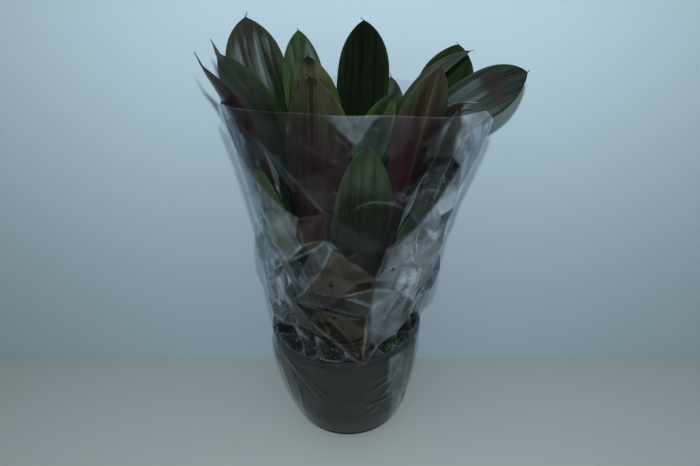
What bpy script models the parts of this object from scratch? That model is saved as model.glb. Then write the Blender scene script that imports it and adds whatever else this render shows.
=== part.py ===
"""A potted imperial bromeliad in the clear film sleeve that it is sold in.

A black nursery pot holds the potting mix. The short stem stands in a plain hole in the mix, and
every leaf is a strap of its own, seated on the stem: the outermost start lowest, and each leaf
stands just outside the one above it. The film sleeve stands round the pot, turns in over the rim
and opens out round the leaves. Metres, +Z up, origin on the floor under the pot's centre. The
photographed side faces -Y.
"""

import math
from collections import namedtuple

import bmesh
import bpy
from mathutils import Vector, noise

# The nursery pot.
POT_HEIGHT = 0.200
POT_BASE_RADIUS = 0.094
POT_RIM_RADIUS = 0.1360
POT_WALL = 0.0022
POT_LIP_HEIGHT = 0.013
POT_LIP_OVERHANG = 0.0042
POT_FLOOR = 0.0030
POT_SIDES = 48
DRAIN_HOLES = 8
DRAIN_RADIUS = 0.0065
DRAIN_RING_RADIUS = 0.076

# Gaps between pieces that touch, and the potting mix.
SEAT_GAP = 0.0004
MIX_LEVEL = 0.186
MIX_ROUGHNESS = 0.0035
MIX_SIDES = 32

# The stem, and where the leaves start on it. Leaf 0 is the innermost.
LEAF_THICKNESS = 0.0010
LEAF_PITCH = 0.0019
FIRST_LEAF_RADIUS = 0.0085
FIRST_LEAF_HEIGHT = 0.236
LAST_LEAF_HEIGHT = 0.174
STEM_FOOT = 0.150
STEM_FOOT_RADIUS = 0.040
STEM_SIDES = 24
WELL_CLEARANCE = 0.009

# How a leaf's grid is divided.
LEAF_ROWS = 13
LEAF_SPANS = 6
WRAP_LIMIT = math.radians(70)
TIP_HALF_WIDTH = 0.0012

# The film sleeve.
FILM_THICKNESS = 0.0006
FILM_SIDES = 56

# One leaf. Where it starts on the stem and where its tip is, as headings round the stem's axis;
# how far out and up the tip is; its greatest half width and how far along the leaf that is; its
# lean from upright at the foot and at the tip; the heading its underside faces near the tip; how
# deep its upper half is channelled; the length of the thin tail that it ends in; and the share of
# its length over which the lean at the tip holds.
Leaf = namedtuple(
    "Leaf",
    "name foot_heading tip_heading reach rise half_width widest lean_foot lean_tip faces channel"
    " tail tip_run",
    defaults=(0.30,),
)

# From the innermost leaf to the outermost. Headings and leans are in degrees, sizes in metres.
LEAVES = (
    Leaf("leaf_heart_small", -60, -60, 0.012, 0.455, 0.016, 0.76, 2, 2, -60, 0, 0.005),
    Leaf("leaf_heart_left", 165, 165, 0.024, 0.520, 0.024, 0.76, 3, 4, 165, 0, 0.005),
    Leaf("leaf_heart_right", 40, 40, 0.032, 0.490, 0.028, 0.76, 4, 4, 40, 0, 0.005),
    Leaf("leaf_front_pale", -125, -150, 0.044, 0.685, 0.044, 0.74, 4, 2, -98, 0, 0.008),
    Leaf("leaf_centre_right", 10, 18, 0.099, 0.613, 0.037, 0.74, 4, 26, 46, 0.1, 0.006, 0.40),
    Leaf("leaf_right_arching", 6, 8, 0.216, 0.674, 0.040, 0.74, 6, 60, 36, 0.2, 0.005, 0.36),
    Leaf("leaf_back_left", 138, 133, 0.089, 0.709, 0.038, 0.76, 6, 2, 112, 0, 0.005),
    Leaf("leaf_back_tall", 86, 61, 0.092, 0.720, 0.045, 0.78, 10, 1, 90, 0, 0.006),
    Leaf("leaf_left_arching", 165, 183, 0.190, 0.703, 0.040, 0.70, 12, 34, 140, 0.15, 0.030),
    Leaf("leaf_back_middle", 100, 100, 0.108, 0.610, 0.040, 0.76, 10, 4, 98, 0, 0.006),
    Leaf("leaf_back_right_small", 35, 48, 0.134, 0.626, 0.038, 0.76, 11, 17, 70, 0, 0.008),
    Leaf("leaf_left_tall", 134, 154, 0.162, 0.735, 0.049, 0.80, 12, 2, 105, 0.1, 0.010),
    Leaf("leaf_front_left", -119, -110, 0.085, 0.665, 0.055, 0.66, 22, -3, -114, 0, 0.006),
    Leaf("leaf_right_curled", -6, -11, 0.215, 0.616, 0.023, 0.76, 11, 64, -40, 0.1, 0.020),
    Leaf(
        "leaf_right_reaching", 5, 4, 0.304, 0.639, 0.036, 0.86, 10, 72, 60, 0.3, 0.004, 0.42
    ),
    Leaf("leaf_back_low_right", 70, 70, 0.127, 0.545, 0.038, 0.76, 12, 8, 70, 0, 0.006),
    Leaf("leaf_right_back", 48, 22, 0.213, 0.677, 0.045, 0.80, 16, 10, 75, 0.1, 0.004),
    Leaf("leaf_left_reaching", -162, -165, 0.209, 0.693, 0.038, 0.70, 15, 32, -142, 0.3, 0.025),
    Leaf("leaf_front_right", -31, -27, 0.174, 0.676, 0.041, 0.70, 16, 15, -60, 0.1, 0.008),
    Leaf("leaf_right_narrow", -10, -18, 0.195, 0.610, 0.034, 0.70, 17, 6, -35, 0.2, 0.006),
    Leaf("leaf_back_low_left", 142, 142, 0.124, 0.500, 0.040, 0.76, 10, 10, 142, 0, 0.006),
    Leaf("leaf_right_low", 8, 8, 0.174, 0.500, 0.040, 0.76, 16, 18, 8, 0, 0.006),
    Leaf("leaf_left_low", -163, -161, 0.134, 0.517, 0.041, 0.70, 14, 10, -140, 0, 0.006),
    Leaf("leaf_back_low", 106, 106, 0.118, 0.490, 0.038, 0.76, 15, 2, 106, 0, 0.006),
    Leaf("leaf_front_short", -80, -65, 0.111, 0.569, 0.049, 0.55, 16, -4, -80, 0, 0.006),
    Leaf("leaf_right_front_low", -26, -33, 0.160, 0.469, 0.028, 0.70, 15, 24, -45, 0, 0.010),
    Leaf("leaf_left_front_low", -142, -147, 0.129, 0.457, 0.036, 0.70, 18, 4, -130, 0, 0.006),
)

# The sleeve's clear inside at a few heights: how far it reaches left, right, forward and back.
SLEEVE_RINGS = (
    (0.012, 0.1030, 0.1030, 0.1030, 0.1030),
    (0.184, 0.1366, 0.1366, 0.1366, 0.1366),
    (0.2025, 0.1366, 0.1366, 0.1366, 0.1366),
    (0.2150, 0.1260, 0.1270, 0.1200, 0.1240),
    (0.2350, 0.1310, 0.1370, 0.1060, 0.1240),
    (0.2550, 0.1370, 0.1500, 0.1020, 0.1300),
    (0.2900, 0.1420, 0.1600, 0.1100, 0.1300),
    (0.3600, 0.1500, 0.1750, 0.1270, 0.1300),
    (0.4500, 0.1520, 0.1980, 0.1300, 0.1300),
    (0.5000, 0.1600, 0.2130, 0.1290, 0.1300),
    (0.6150, 0.1845, 0.2450, 0.1290, 0.1300),
)
SLEEVE_ROWS = (
    0.012, 0.060, 0.120, 0.184, 0.2025, 0.2150, 0.2350, 0.2550, 0.2900,
    0.3250, 0.3600, 0.4050, 0.4500, 0.5000, 0.5550, 0.6150,
)  # fmt: skip


def smooth(value, low, high):
    """0 below low, 1 above high, and an even curve between."""
    t = min(1.0, max(0.0, (value - low) / (high - low)))
    return t * t * (3 - 2 * t)


def material(name, colour, roughness):
    made = bpy.data.materials.new(name)
    made.use_nodes = True
    shader = made.node_tree.nodes["Principled BSDF"]
    shader.inputs["Base Color"].default_value = (*colour, 1.0)
    shader.inputs["Roughness"].default_value = roughness
    shader.inputs["Metallic"].default_value = 0.0
    return made


def object_from(name, bm, finish):
    """The bmesh as an object of the scene, smooth but for its sharp edges."""
    mesh = bpy.data.meshes.new(name)
    bm.normal_update()
    bm.to_mesh(mesh)
    bm.free()
    mesh.shade_smooth()
    mesh.set_sharp_from_angle(angle=math.radians(40))
    mesh.materials.append(finish)
    made = bpy.data.objects.new(name, mesh)
    bpy.context.scene.collection.objects.link(made)
    return made


def turned(profile, sides):
    """A closed bmesh turned round Z from an (r, z) profile that starts and ends on the axis."""
    bm = bmesh.new()
    verts = [bm.verts.new((r, 0, z)) for r, z in profile]
    edges = [bm.edges.new(pair) for pair in zip(verts, verts[1:])]
    bmesh.ops.spin(
        bm, geom=verts + edges, axis=(0, 0, 1), cent=(0, 0, 0), steps=sides,
        angle=2 * math.pi, use_merge=True,
    )  # fmt: skip
    bmesh.ops.remove_doubles(bm, verts=bm.verts, dist=1e-5)
    bmesh.ops.recalc_face_normals(bm, faces=bm.faces)
    return bm


def pot_radius(height):
    """The radius of the pot wall's outer face, which ends under the lip."""
    top = POT_RIM_RADIUS - POT_LIP_OVERHANG
    return POT_BASE_RADIUS + (top - POT_BASE_RADIUS) * height / POT_HEIGHT


def make_pot():
    lip_foot = POT_HEIGHT - POT_LIP_HEIGHT
    edge = 0.0015
    inner = POT_RIM_RADIUS - POT_LIP_OVERHANG - POT_WALL
    profile = (
        (0, 0),
        (POT_BASE_RADIUS - edge, 0),
        (pot_radius(edge), edge),
        (pot_radius(lip_foot), lip_foot),
        (POT_RIM_RADIUS - edge, lip_foot),
        (POT_RIM_RADIUS, lip_foot + edge),
        (POT_RIM_RADIUS, POT_HEIGHT - edge),
        (POT_RIM_RADIUS - edge, POT_HEIGHT),
        (inner + edge, POT_HEIGHT),
        (inner, POT_HEIGHT - edge),
        (pot_radius(POT_FLOOR) - POT_WALL, POT_FLOOR),
        (0, POT_FLOOR),
    )
    pot = object_from(
        "pot", turned(profile, POT_SIDES), material("pot_plastic", (0.035, 0.04, 0.045), 0.45)
    )
    pot.modifiers.new("drain_holes", "BOOLEAN").object = drain_cutter()
    return pot


def drain_cutter():
    """One cutter object with a plug for each drain hole, clear of each other."""
    bm = bmesh.new()
    for i in range(DRAIN_HOLES):
        angle = 2 * math.pi * (i + 0.5) / DRAIN_HOLES
        made = bmesh.ops.create_cone(
            bm, cap_ends=True, segments=10, radius1=DRAIN_RADIUS, radius2=DRAIN_RADIUS,
            depth=4 * POT_FLOOR,
        )  # fmt: skip
        place = Vector((math.cos(angle), math.sin(angle), 0)) * DRAIN_RING_RADIUS
        bmesh.ops.translate(bm, verts=made["verts"], vec=place)
    cutter = object_from("drain_cutter", bm, material("cutter", (0.5, 0.5, 0.5), 0.5))
    cutter.hide_render = True
    cutter.display_type = "WIRE"
    return cutter


def leaf_start(order):
    """(radius, height) of a leaf's foot, by its place from the innermost."""
    share = order / (len(LEAVES) - 1)
    return (
        FIRST_LEAF_RADIUS + LEAF_PITCH * order,
        FIRST_LEAF_HEIGHT + (LAST_LEAF_HEIGHT - FIRST_LEAF_HEIGHT) * share,
    )


def stem_radius(order):
    """The stem's radius at a leaf's foot: inside the leaf's flat facets by the seat gap."""
    radius, _ = leaf_start(order)
    facet = min(WRAP_LIMIT, 0.038 / radius) / LEAF_SPANS
    return (radius - LEAF_THICKNESS / 2) * math.cos(facet) - SEAT_GAP


def make_stem():
    last = len(LEAVES) - 1
    cone_foot = leaf_start(last)[1] - 0.003
    profile = (
        (0, STEM_FOOT),
        (STEM_FOOT_RADIUS, STEM_FOOT),
        (stem_radius(last), cone_foot),
        (stem_radius(last), leaf_start(last)[1]),
        (stem_radius(0), leaf_start(0)[1]),
        (stem_radius(0) * 0.6, leaf_start(0)[1] + 0.006),
        (0, leaf_start(0)[1] + 0.008),
    )
    return object_from(
        "stem", turned(profile, STEM_SIDES), material("stem_tissue", (0.12, 0.09, 0.05), 0.7)
    )


def make_potting_mix():
    """The root ball: it fills the pot, is rough on top, and has a stepped hole for the stem."""
    last = len(LEAVES) - 1
    well = leaf_start(last)[0] + WELL_CLEARANCE
    socket = stem_radius(last) + SEAT_GAP + 0.001
    floor = POT_FLOOR + SEAT_GAP
    wall = POT_WALL + 3 * SEAT_GAP

    def side(height):
        return pot_radius(height) - wall

    inside_top = side(MIX_LEVEL)
    profile = (
        (0, floor),
        (side(floor) - 0.002, floor),
        (side(floor + 0.002), floor + 0.002),
        (inside_top, MIX_LEVEL),
        (inside_top * 0.90, MIX_LEVEL),
        (inside_top * 0.76, MIX_LEVEL),
        (inside_top * 0.63, MIX_LEVEL),
        (well, MIX_LEVEL - 0.001),
        (well, leaf_start(last)[1] - 0.004),
        (socket, leaf_start(last)[1] - 0.005),
        (socket, STEM_FOOT - SEAT_GAP),
        (0, STEM_FOOT - SEAT_GAP),
    )
    bm = turned(profile, MIX_SIDES)
    for vert in bm.verts:
        inner_ring = well * 1.02 < vert.co.xy.length < inside_top * 0.97
        if inner_ring and vert.co.z > MIX_LEVEL - 0.001:
            lump = noise.noise(vert.co * 55) + 0.6 * noise.noise(vert.co * 140)
            vert.co.z += MIX_ROUGHNESS * lump
    return object_from("potting_mix", bm, material("peat_and_bark", (0.045, 0.03, 0.02), 0.95))


def heading_vector(degrees):
    return Vector((math.cos(math.radians(degrees)), math.sin(math.radians(degrees)), 0))


def leaning(degrees, lean):
    """The direction that leans from upright towards a heading."""
    lean = math.radians(lean)
    return heading_vector(degrees) * math.sin(lean) + Vector((0, 0, math.cos(lean)))


def leaf_line(leaf, order, t):
    """(position, direction) of the leaf's midrib at t, from 0 at the foot to 1 at the tip."""
    radius, height = leaf_start(order)
    foot = heading_vector(leaf.foot_heading) * radius + Vector((0, 0, height))
    tip = heading_vector(leaf.tip_heading) * leaf.reach + Vector((0, 0, leaf.rise))
    length = (tip - foot).length
    a, d = foot, tip
    b = a + leaning(leaf.foot_heading, leaf.lean_foot) * length * 0.42
    c = d - leaning(leaf.tip_heading, leaf.lean_tip) * length * leaf.tip_run
    u = 1 - t
    place = a * u**3 + b * (3 * u * u * t) + c * (3 * u * t * t) + d * t**3
    slope = (b - a) * (3 * u * u) + (c - b) * (6 * u * t) + (d - c) * (3 * t * t)
    return place, slope.normalized()


def leaf_half_width(leaf, t, radius):
    """Widest some way up, drawn in below that, with a rounded arch of a tip and a thin tail."""
    t *= 1 + leaf.tail / leaf.rise / 0.75
    if t < leaf.widest:
        share = 0.78 + 0.22 * smooth(t, 0.15, leaf.widest)
    else:
        share = max(0.0, 1 - ((t - leaf.widest) / (1 - leaf.widest)) ** 2.2) ** 0.6
    width = max(leaf.half_width * share, TIP_HALF_WIDTH * (1 + max(0.0, 1.2 - 30 * abs(1 - t))))
    return min(width, WRAP_LIMIT * radius)


def leaf_point(leaf, order, t, across):
    """A point of the leaf's middle surface; across runs from -1 to 1 over its width."""
    middle, along = leaf_line(leaf, order, t)
    radius = middle.xy.length
    offset = across * leaf_half_width(leaf, t, radius)
    # Low down the leaf is a sheath round the stem's axis.
    heading = math.atan2(middle.y, middle.x)
    angle = heading + offset / radius
    sheath = Vector((radius * math.cos(angle), radius * math.sin(angle), middle.z))
    # Higher up it is a free blade that turns to face its own way and is less curved across.
    free = smooth(t, 0.35, 0.75)
    turn = (leaf.faces - leaf.tip_heading) * smooth(t, 0.30, 0.85)
    side = along.cross(heading_vector(math.degrees(heading) + turn)).normalized()
    upper = along.cross(side)
    bend = side.xy.length * (1 - 0.5 * free) / radius + leaf.channel * free / leaf.half_width
    bend = max(bend, 0.5)
    blade = (
        middle
        + side * (math.sin(bend * offset) / bend)
        + upper * ((1 - math.cos(bend * offset)) / bend)
    )
    return sheath.lerp(blade, free)


def make_leaf(leaf, order, finish):
    bm = bmesh.new()
    bmesh.ops.create_grid(bm, x_segments=LEAF_SPANS, y_segments=LEAF_ROWS, size=1)
    for vert in bm.verts:
        across, along = vert.co.x, min(1.0, (vert.co.y + 1) / 2)
        vert.co = leaf_point(leaf, order, 1 - (1 - along) ** 1.6, across)
    made = object_from(leaf.name, bm, finish)
    thick = made.modifiers.new("thickness", "SOLIDIFY")
    thick.thickness = LEAF_THICKNESS
    thick.offset = 0
    return made


def sleeve_ring(height):
    """(left, right, front, back) reach of the sleeve's inside at a height."""
    for low, high in zip(SLEEVE_RINGS, SLEEVE_RINGS[1:]):
        if height <= high[0]:
            share = max(0.0, (height - low[0]) / (high[0] - low[0]))
            return [a + (b - a) * share for a, b in zip(low[1:], high[1:])]
    return SLEEVE_RINGS[-1][1:]


def sleeve_fold(angle, height):
    """How far the film is folded inwards: crumples that start above the rim and fade upwards."""
    start = smooth(height, 0.205, 0.235) * (1 - 0.8 * smooth(height, 0.36, 0.55))
    ridge = abs(noise.noise(Vector((3.0 * math.cos(angle), 3.0 * math.sin(angle), height * 16))))
    broad = noise.noise(Vector((1.6 * math.cos(angle), 1.6 * math.sin(angle), height * 9 + 4)))
    return start * (0.018 * ridge + 0.010 * (broad + 0.3))


def sleeve_point(angle, height, outward):
    left, right, front, back = sleeve_ring(height)
    seam = smooth(height, 0.35, 0.60)
    across, along = math.cos(angle), math.sin(angle)
    corner = 1 - (0.40 if math.sin(angle) > 0 else 0.20) * seam
    side = math.copysign(abs(along) ** corner, along)
    fold = sleeve_fold(angle, height)
    x = across * ((right if across > 0 else left) - fold + outward)
    y = side * ((back if along > 0 else front) - fold + outward)
    droop = 0.037 * smooth(across, 0.4, 1.0) - 0.006 * smooth(-across, 0.1, 0.8)
    droop *= smooth(height, 0.45, SLEEVE_ROWS[-1])
    return Vector((x, y, height - droop))


def make_sleeve():
    """A thin open tube: rings of the inner face joined up, and the same again outside it."""
    bm = bmesh.new()
    faces = []
    for outward in (0.0, FILM_THICKNESS):
        rings = [
            [
                bm.verts.new(sleeve_point(2 * math.pi * i / FILM_SIDES, height, outward))
                for i in range(FILM_SIDES)
            ]
            for height in SLEEVE_ROWS
        ]
        faces.append(rings)
    for rings in faces:
        for low, high in zip(rings, rings[1:]):
            for i in range(FILM_SIDES):
                j = (i + 1) % FILM_SIDES
                bm.faces.new((low[i], low[j], high[j], high[i]))
    for end in (0, -1):
        inner, outer = faces[0][end], faces[1][end]
        for i in range(FILM_SIDES):
            j = (i + 1) % FILM_SIDES
            bm.faces.new((inner[i], inner[j], outer[j], outer[i]))
    bmesh.ops.recalc_face_normals(bm, faces=bm.faces)
    return object_from("sleeve", bm, material("clear_film", (0.85, 0.9, 0.95), 0.08))


def main():
    for old in list(bpy.data.objects):
        bpy.data.objects.remove(old)
    make_pot()
    make_potting_mix()
    make_stem()
    leaf_green = material("leaf_tissue", (0.05, 0.07, 0.03), 0.35)
    for order, leaf in enumerate(LEAVES):
        make_leaf(leaf, order, leaf_green)
    make_sleeve()


main()
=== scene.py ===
import math
import random

import bmesh
import bpy
import numpy as np
from mathutils import Matrix, Vector, noise
from mathutils.bvhtree import BVHTree
from mathutils.geometry import delaunay_2d_cdt


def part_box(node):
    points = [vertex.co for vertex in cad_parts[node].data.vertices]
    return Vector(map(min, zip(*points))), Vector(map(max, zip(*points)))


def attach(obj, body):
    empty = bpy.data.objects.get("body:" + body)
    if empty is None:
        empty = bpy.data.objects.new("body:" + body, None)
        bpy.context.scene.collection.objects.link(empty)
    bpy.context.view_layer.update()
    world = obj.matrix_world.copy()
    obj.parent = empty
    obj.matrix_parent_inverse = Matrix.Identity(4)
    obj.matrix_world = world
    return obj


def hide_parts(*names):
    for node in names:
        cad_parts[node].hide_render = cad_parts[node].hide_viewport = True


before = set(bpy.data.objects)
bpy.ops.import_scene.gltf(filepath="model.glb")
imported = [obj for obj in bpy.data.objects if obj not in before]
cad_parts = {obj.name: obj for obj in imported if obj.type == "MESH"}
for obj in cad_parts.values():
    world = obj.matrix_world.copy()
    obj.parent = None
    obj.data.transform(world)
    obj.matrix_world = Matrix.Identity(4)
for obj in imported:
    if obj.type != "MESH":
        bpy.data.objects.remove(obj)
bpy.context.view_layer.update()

# The camera stands where the photograph was taken: a little above the plant and to the right,
# looking down at it and turned slightly on its side.
CAMERA_PLACE = (0.0686, -0.9510, 0.8373)
LOOKS_DOWN = math.radians(25.944)
TURNS_RIGHT = math.radians(-3.326)
ROLL = math.radians(-2.223)
LENS_MM = 31.33
SENSOR_MM = 36
NEAREST_SEEN = 0.02
FILM_LAYERS_SEEN = 24

camera = bpy.data.objects.new("camera", bpy.data.cameras.new("camera"))
bpy.context.scene.collection.objects.link(camera)
camera.data.lens = LENS_MM
camera.data.sensor_width = SENSOR_MM
camera.data.clip_start = NEAREST_SEEN
forward = Vector(
    (
        math.sin(TURNS_RIGHT) * math.cos(LOOKS_DOWN),
        math.cos(TURNS_RIGHT) * math.cos(LOOKS_DOWN),
        -math.sin(LOOKS_DOWN),
    )
)
level_right = Vector((math.cos(TURNS_RIGHT), -math.sin(TURNS_RIGHT), 0))
level_up = level_right.cross(forward)
camera_right = level_right * math.cos(ROLL) + level_up * math.sin(ROLL)
camera_up = level_up * math.cos(ROLL) - level_right * math.sin(ROLL)
camera.matrix_world = Matrix.Translation(CAMERA_PLACE) @ Matrix(
    (camera_right, camera_up, -forward)
).transposed().to_4x4()
bpy.context.scene.camera = camera
bpy.context.scene.view_settings.view_transform = "Standard"
bpy.context.scene.cycles.transparent_max_bounces = FILM_LAYERS_SEEN


# The plain pale floor and the plain board close behind the plant. The board shows only its front,
# so it hides nothing in a view from behind.
class Shade:
    """A socket of a material's nodes that can be used in Python sums."""

    def __init__(self, tree, socket):
        self.tree = tree
        self.socket = socket

    def node(self, kind, inputs, output=0, **settings):
        """A new node: its settings, then the values or links of its inputs."""
        made = self.tree.nodes.new(kind)
        for name, value in settings.items():
            setattr(made, name, value)
        for name, value in inputs.items():
            if isinstance(value, Shade):
                self.tree.links.new(value.socket, made.inputs[name])
            elif isinstance(value, tuple) and made.inputs[name].type == "RGBA":
                made.inputs[name].default_value = (*value, 1)
            else:
                made.inputs[name].default_value = value
        return Shade(self.tree, made.outputs[output])

    def maths(self, operation, *values, clamp=False):
        inputs = dict(enumerate(values))
        return self.node("ShaderNodeMath", inputs, operation=operation, use_clamp=clamp)

    def __add__(self, other):
        return self.maths("ADD", self, other)

    def __sub__(self, other):
        return self.maths("SUBTRACT", self, other)

    def __rsub__(self, other):
        return self.maths("SUBTRACT", other, self)

    def __mul__(self, other):
        return self.maths("MULTIPLY", self, other)

    def __truediv__(self, other):
        return self.maths("DIVIDE", self, other)

    __radd__ = __add__
    __rmul__ = __mul__

    def size(self):
        """The value without its sign."""
        return self.maths("ABSOLUTE", self)

    def clamped(self):
        """The value held between 0 and 1."""
        return self.maths("ADD", self, 0, clamp=True)

    def ramp(self, low, high):
        """0 up to low, 1 from high on, and an even curve between."""
        inputs = {"Value": self, "From Min": low, "From Max": high}
        return self.node("ShaderNodeMapRange", inputs, interpolation_type="SMOOTHSTEP")

    def fall(self, low, high):
        """1 up to low, 0 from high on, and an even curve between."""
        return 1 - self.ramp(low, high)

    def blend(self, first, second):
        """The first colour where this is 0 and the second where it is 1."""
        inputs = {0: self, 6: first, 7: second}
        return self.node("ShaderNodeMix", inputs, output=2, data_type="RGBA")

    def scaled(self, scale):
        """The vector with each of its directions scaled."""
        inputs = {0: self, 1: scale}
        return self.node("ShaderNodeVectorMath", inputs, operation="MULTIPLY")

    def noise(self, scale, detail=2.0, rough=0.5):
        inputs = {"Vector": self, "Scale": scale, "Detail": detail, "Roughness": rough}
        return self.node("ShaderNodeTexNoise", inputs, noise_dimensions="3D")

    def axes(self):
        """The three parts of a vector."""
        split = self.node("ShaderNodeSeparateXYZ", {0: self})
        return [Shade(self.tree, socket) for socket in split.socket.node.outputs]

    def bump(self, height_m, strength):
        """The normal of a surface that is this high where the value is 1."""
        inputs = {"Height": self, "Distance": height_m, "Strength": strength}
        return self.node("ShaderNodeBump", inputs)


def start_material(name):
    """A new material, its Principled shader and a Shade that reads its object's coordinates."""
    made = bpy.data.materials.new(name)
    made.use_nodes = True
    tree = made.node_tree
    place = Shade(tree, None).node("ShaderNodeTexCoord", {}, output="Object")
    return made, tree.nodes["Principled BSDF"], place


def set_shader(shader, **values):
    """Sets or links the sockets of a shader; Base_Color stands for Base Color."""
    for name, value in values.items():
        socket = shader.inputs[name.replace("_", " ")]
        if isinstance(value, Shade):
            value.tree.links.new(value.socket, socket)
        elif isinstance(value, tuple):
            socket.default_value = (*value, 1)
        else:
            socket.default_value = value


def show_mixed(material, factor, first, second):
    """Makes the material show its first shader where the factor is 0 and its second where it is 1."""
    mixed = factor.node("ShaderNodeMixShader", {0: factor, 1: first, 2: second})
    out = material.node_tree.nodes["Material Output"]
    factor.tree.links.new(mixed.socket, out.inputs["Surface"])


def add_object(name, bm, material, smooth_below=40):
    """The bmesh as an object of the scene; edges sharper than the angle stay sharp."""
    mesh = bpy.data.meshes.new(name)
    bm.normal_update()
    bm.to_mesh(mesh)
    bm.free()
    mesh.shade_smooth()
    mesh.set_sharp_from_angle(angle=math.radians(smooth_below))
    mesh.materials.append(material)
    made = bpy.data.objects.new(name, mesh)
    bpy.context.scene.collection.objects.link(made)
    return made


FLOOR_COLOUR = (0.45, 0.465, 0.45)
FLOOR_IN_MIRRORS = (0.29, 0.27, 0.23)
FLOOR_FAR_SHADE_IN_MIRRORS = (0.03, 0.03, 0.03)
BOARD_COLOUR = (0.60, 0.72, 0.79)
BOARD_SHADED_LOW = (0.47, 0.565, 0.625)
FLOOR_SIZE = 6.0
BOARD_Y = 0.137
BOARD_HALF_WIDTH = 1.1
BOARD_HEIGHT = 1.6

floor_finish, shader, place = start_material("floor_panel")
# Mirrors see the floor in a painted brownish reflection colour, and from half a metre in front of the
# plant in painted shade that stands for the dim room there.
far_in_front = (0 - place.axes()[1]).ramp(0.52, 0.60)
mirrored = place.node("ShaderNodeLightPath", {}, output="Is Glossy Ray")
mirror_colour = far_in_front.blend(FLOOR_IN_MIRRORS, FLOOR_FAR_SHADE_IN_MIRRORS)
set_shader(shader, Base_Color=mirrored.blend(FLOOR_COLOUR, mirror_colour), Roughness=0.6)
bm = bmesh.new()
bmesh.ops.create_grid(bm, x_segments=2, y_segments=2, size=FLOOR_SIZE / 2)
floor = add_object("floor", bm, floor_finish)

board_finish, shader, place = start_material("back_board")
# The board is painted darker towards its foot: painted shade of the light falling off down it.
board_lit_high_up = place.axes()[2].ramp(0.10, 0.75)
set_shader(shader, Base_Color=board_lit_high_up.blend(BOARD_SHADED_LOW, BOARD_COLOUR), Roughness=0.7)
behind = place.node("ShaderNodeNewGeometry", {}, output="Backfacing")
clear = place.node("ShaderNodeBsdfTransparent", {})
show_mixed(board_finish, behind, Shade(place.tree, shader.outputs[0]), clear)
bm = bmesh.new()
bmesh.ops.create_grid(bm, x_segments=2, y_segments=2, size=1)
bmesh.ops.scale(bm, vec=(BOARD_HALF_WIDTH, BOARD_HEIGHT / 2, 1), verts=bm.verts)
bmesh.ops.rotate(bm, matrix=Matrix.Rotation(math.pi / 2, 3, "X"), verts=bm.verts)
bmesh.ops.translate(bm, vec=(0, BOARD_Y, BOARD_HEIGHT / 2), verts=bm.verts)
board = add_object("board", bm, board_finish)

# Soft studio light: a small panel right above the camera, which throws the shadows on the board but
# isn't mirrored, a weak one in its place that is, a broad one overhead, and the room's own light:
# pale at the sides and above, dim in front.
FRONT_WATTS = 10.4
GLINT_WATTS = 0.15
OVERHEAD_WATTS = 3.0
FRONT_SIZE = (0.035, 0.025)
GLINT_SIZE = (0.10, 0.07)
OVERHEAD_SIZE = (1.3, 1.0)
FRONT_PLACE = (0.087, -0.95, 1.05)
FRONT_AIM = (0.02, 0.0, 0.42)
OVERHEAD_PLACE = (0.0, -0.35, 1.60)
OVERHEAD_AIM = (0.0, -0.15, 0.0)
LIGHT_COLOUR = (0.80, 0.93, 1.0)
OVERHEAD_COLOUR = (0.88, 0.97, 1.0)
ROOM_COLOUR = (0.90, 0.98, 1.0)
ROOM_ABOVE = 0.22
ROOM_BESIDE = 0.24
ROOM_BEYOND = 0.20
ROOM_LEAST = 0.012
ROOM_SEEN = 0.42


def add_panel(name, watts, colour, size, stands, aims):
    """A rectangular lamp that stands at one place and aims at another."""
    lamp = bpy.data.lights.new(name, "AREA")
    lamp.shape = "RECTANGLE"
    lamp.size, lamp.size_y = size
    lamp.energy = watts
    lamp.color = colour
    made = bpy.data.objects.new(name, lamp)
    bpy.context.scene.collection.objects.link(made)
    made.location = stands
    aim = Vector(aims) - Vector(stands)
    made.rotation_euler = aim.to_track_quat("-Z", "Y").to_euler()
    return made


front = add_panel("front_panel", FRONT_WATTS, LIGHT_COLOUR, FRONT_SIZE, FRONT_PLACE, FRONT_AIM)
front.visible_glossy = False
add_panel("glint_panel", GLINT_WATTS, LIGHT_COLOUR, GLINT_SIZE, FRONT_PLACE, FRONT_AIM)
add_panel(
    "overhead_panel", OVERHEAD_WATTS, OVERHEAD_COLOUR, OVERHEAD_SIZE, OVERHEAD_PLACE, OVERHEAD_AIM
)

world = bpy.data.worlds.new("room")
bpy.context.scene.world = world
world.use_nodes = True
tree = world.node_tree
direction = Shade(tree, None).node("ShaderNodeTexCoord", {}, output="Generated")
toward_x, toward_y, toward_z = direction.axes()
overhead = toward_z.ramp(0.55, 0.65)
sideways = toward_x.size().ramp(0.50, 0.58) * (1 - overhead)
beyond = toward_y.ramp(0.1, 0.3) * (1 - overhead) * (1 - sideways)
level = overhead * ROOM_ABOVE + sideways * ROOM_BESIDE + beyond * ROOM_BEYOND + ROOM_LEAST
seen = Shade(tree, None).node("ShaderNodeLightPath", {}, output="Is Camera Ray")
strength = seen * ROOM_SEEN + (1 - seen) * level
background = tree.nodes["Background"]
background.inputs["Color"].default_value = (*ROOM_COLOUR, 1)
tree.links.new(strength.socket, background.inputs["Strength"])


# The nursery pot: moulded black plastic, thin walled, with a rolled rim and a ring of drain holes
# near the edge of its flat underside. One turned wall, with the holes cut through its floor.
POT_HEIGHT = 0.200
POT_BASE_RADIUS = 0.094
POT_RIM_RADIUS = 0.1360
POT_WALL = 0.0022
POT_LIP_FOOT = POT_HEIGHT - 0.013
POT_LIP_OVERHANG = 0.0042
POT_LIP_ROUND = 0.0012
POT_FLOOR = 0.0030
POT_FLOOR_CORNER = 0.002
POT_SIDES = 112
RIM_ROLL = 0.0026
FOOT_ROUND = 0.0018
DRAIN_HOLES = 8
DRAIN_RADIUS = 0.0065
DRAIN_RING_RADIUS = 0.076
PLASTIC = (0.0150, 0.0136, 0.0124)
PLASTIC_DUSTY = (0.026, 0.0238, 0.0214)
PLASTIC_RIM_SHADED = (0.006, 0.0062, 0.0068)


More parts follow.
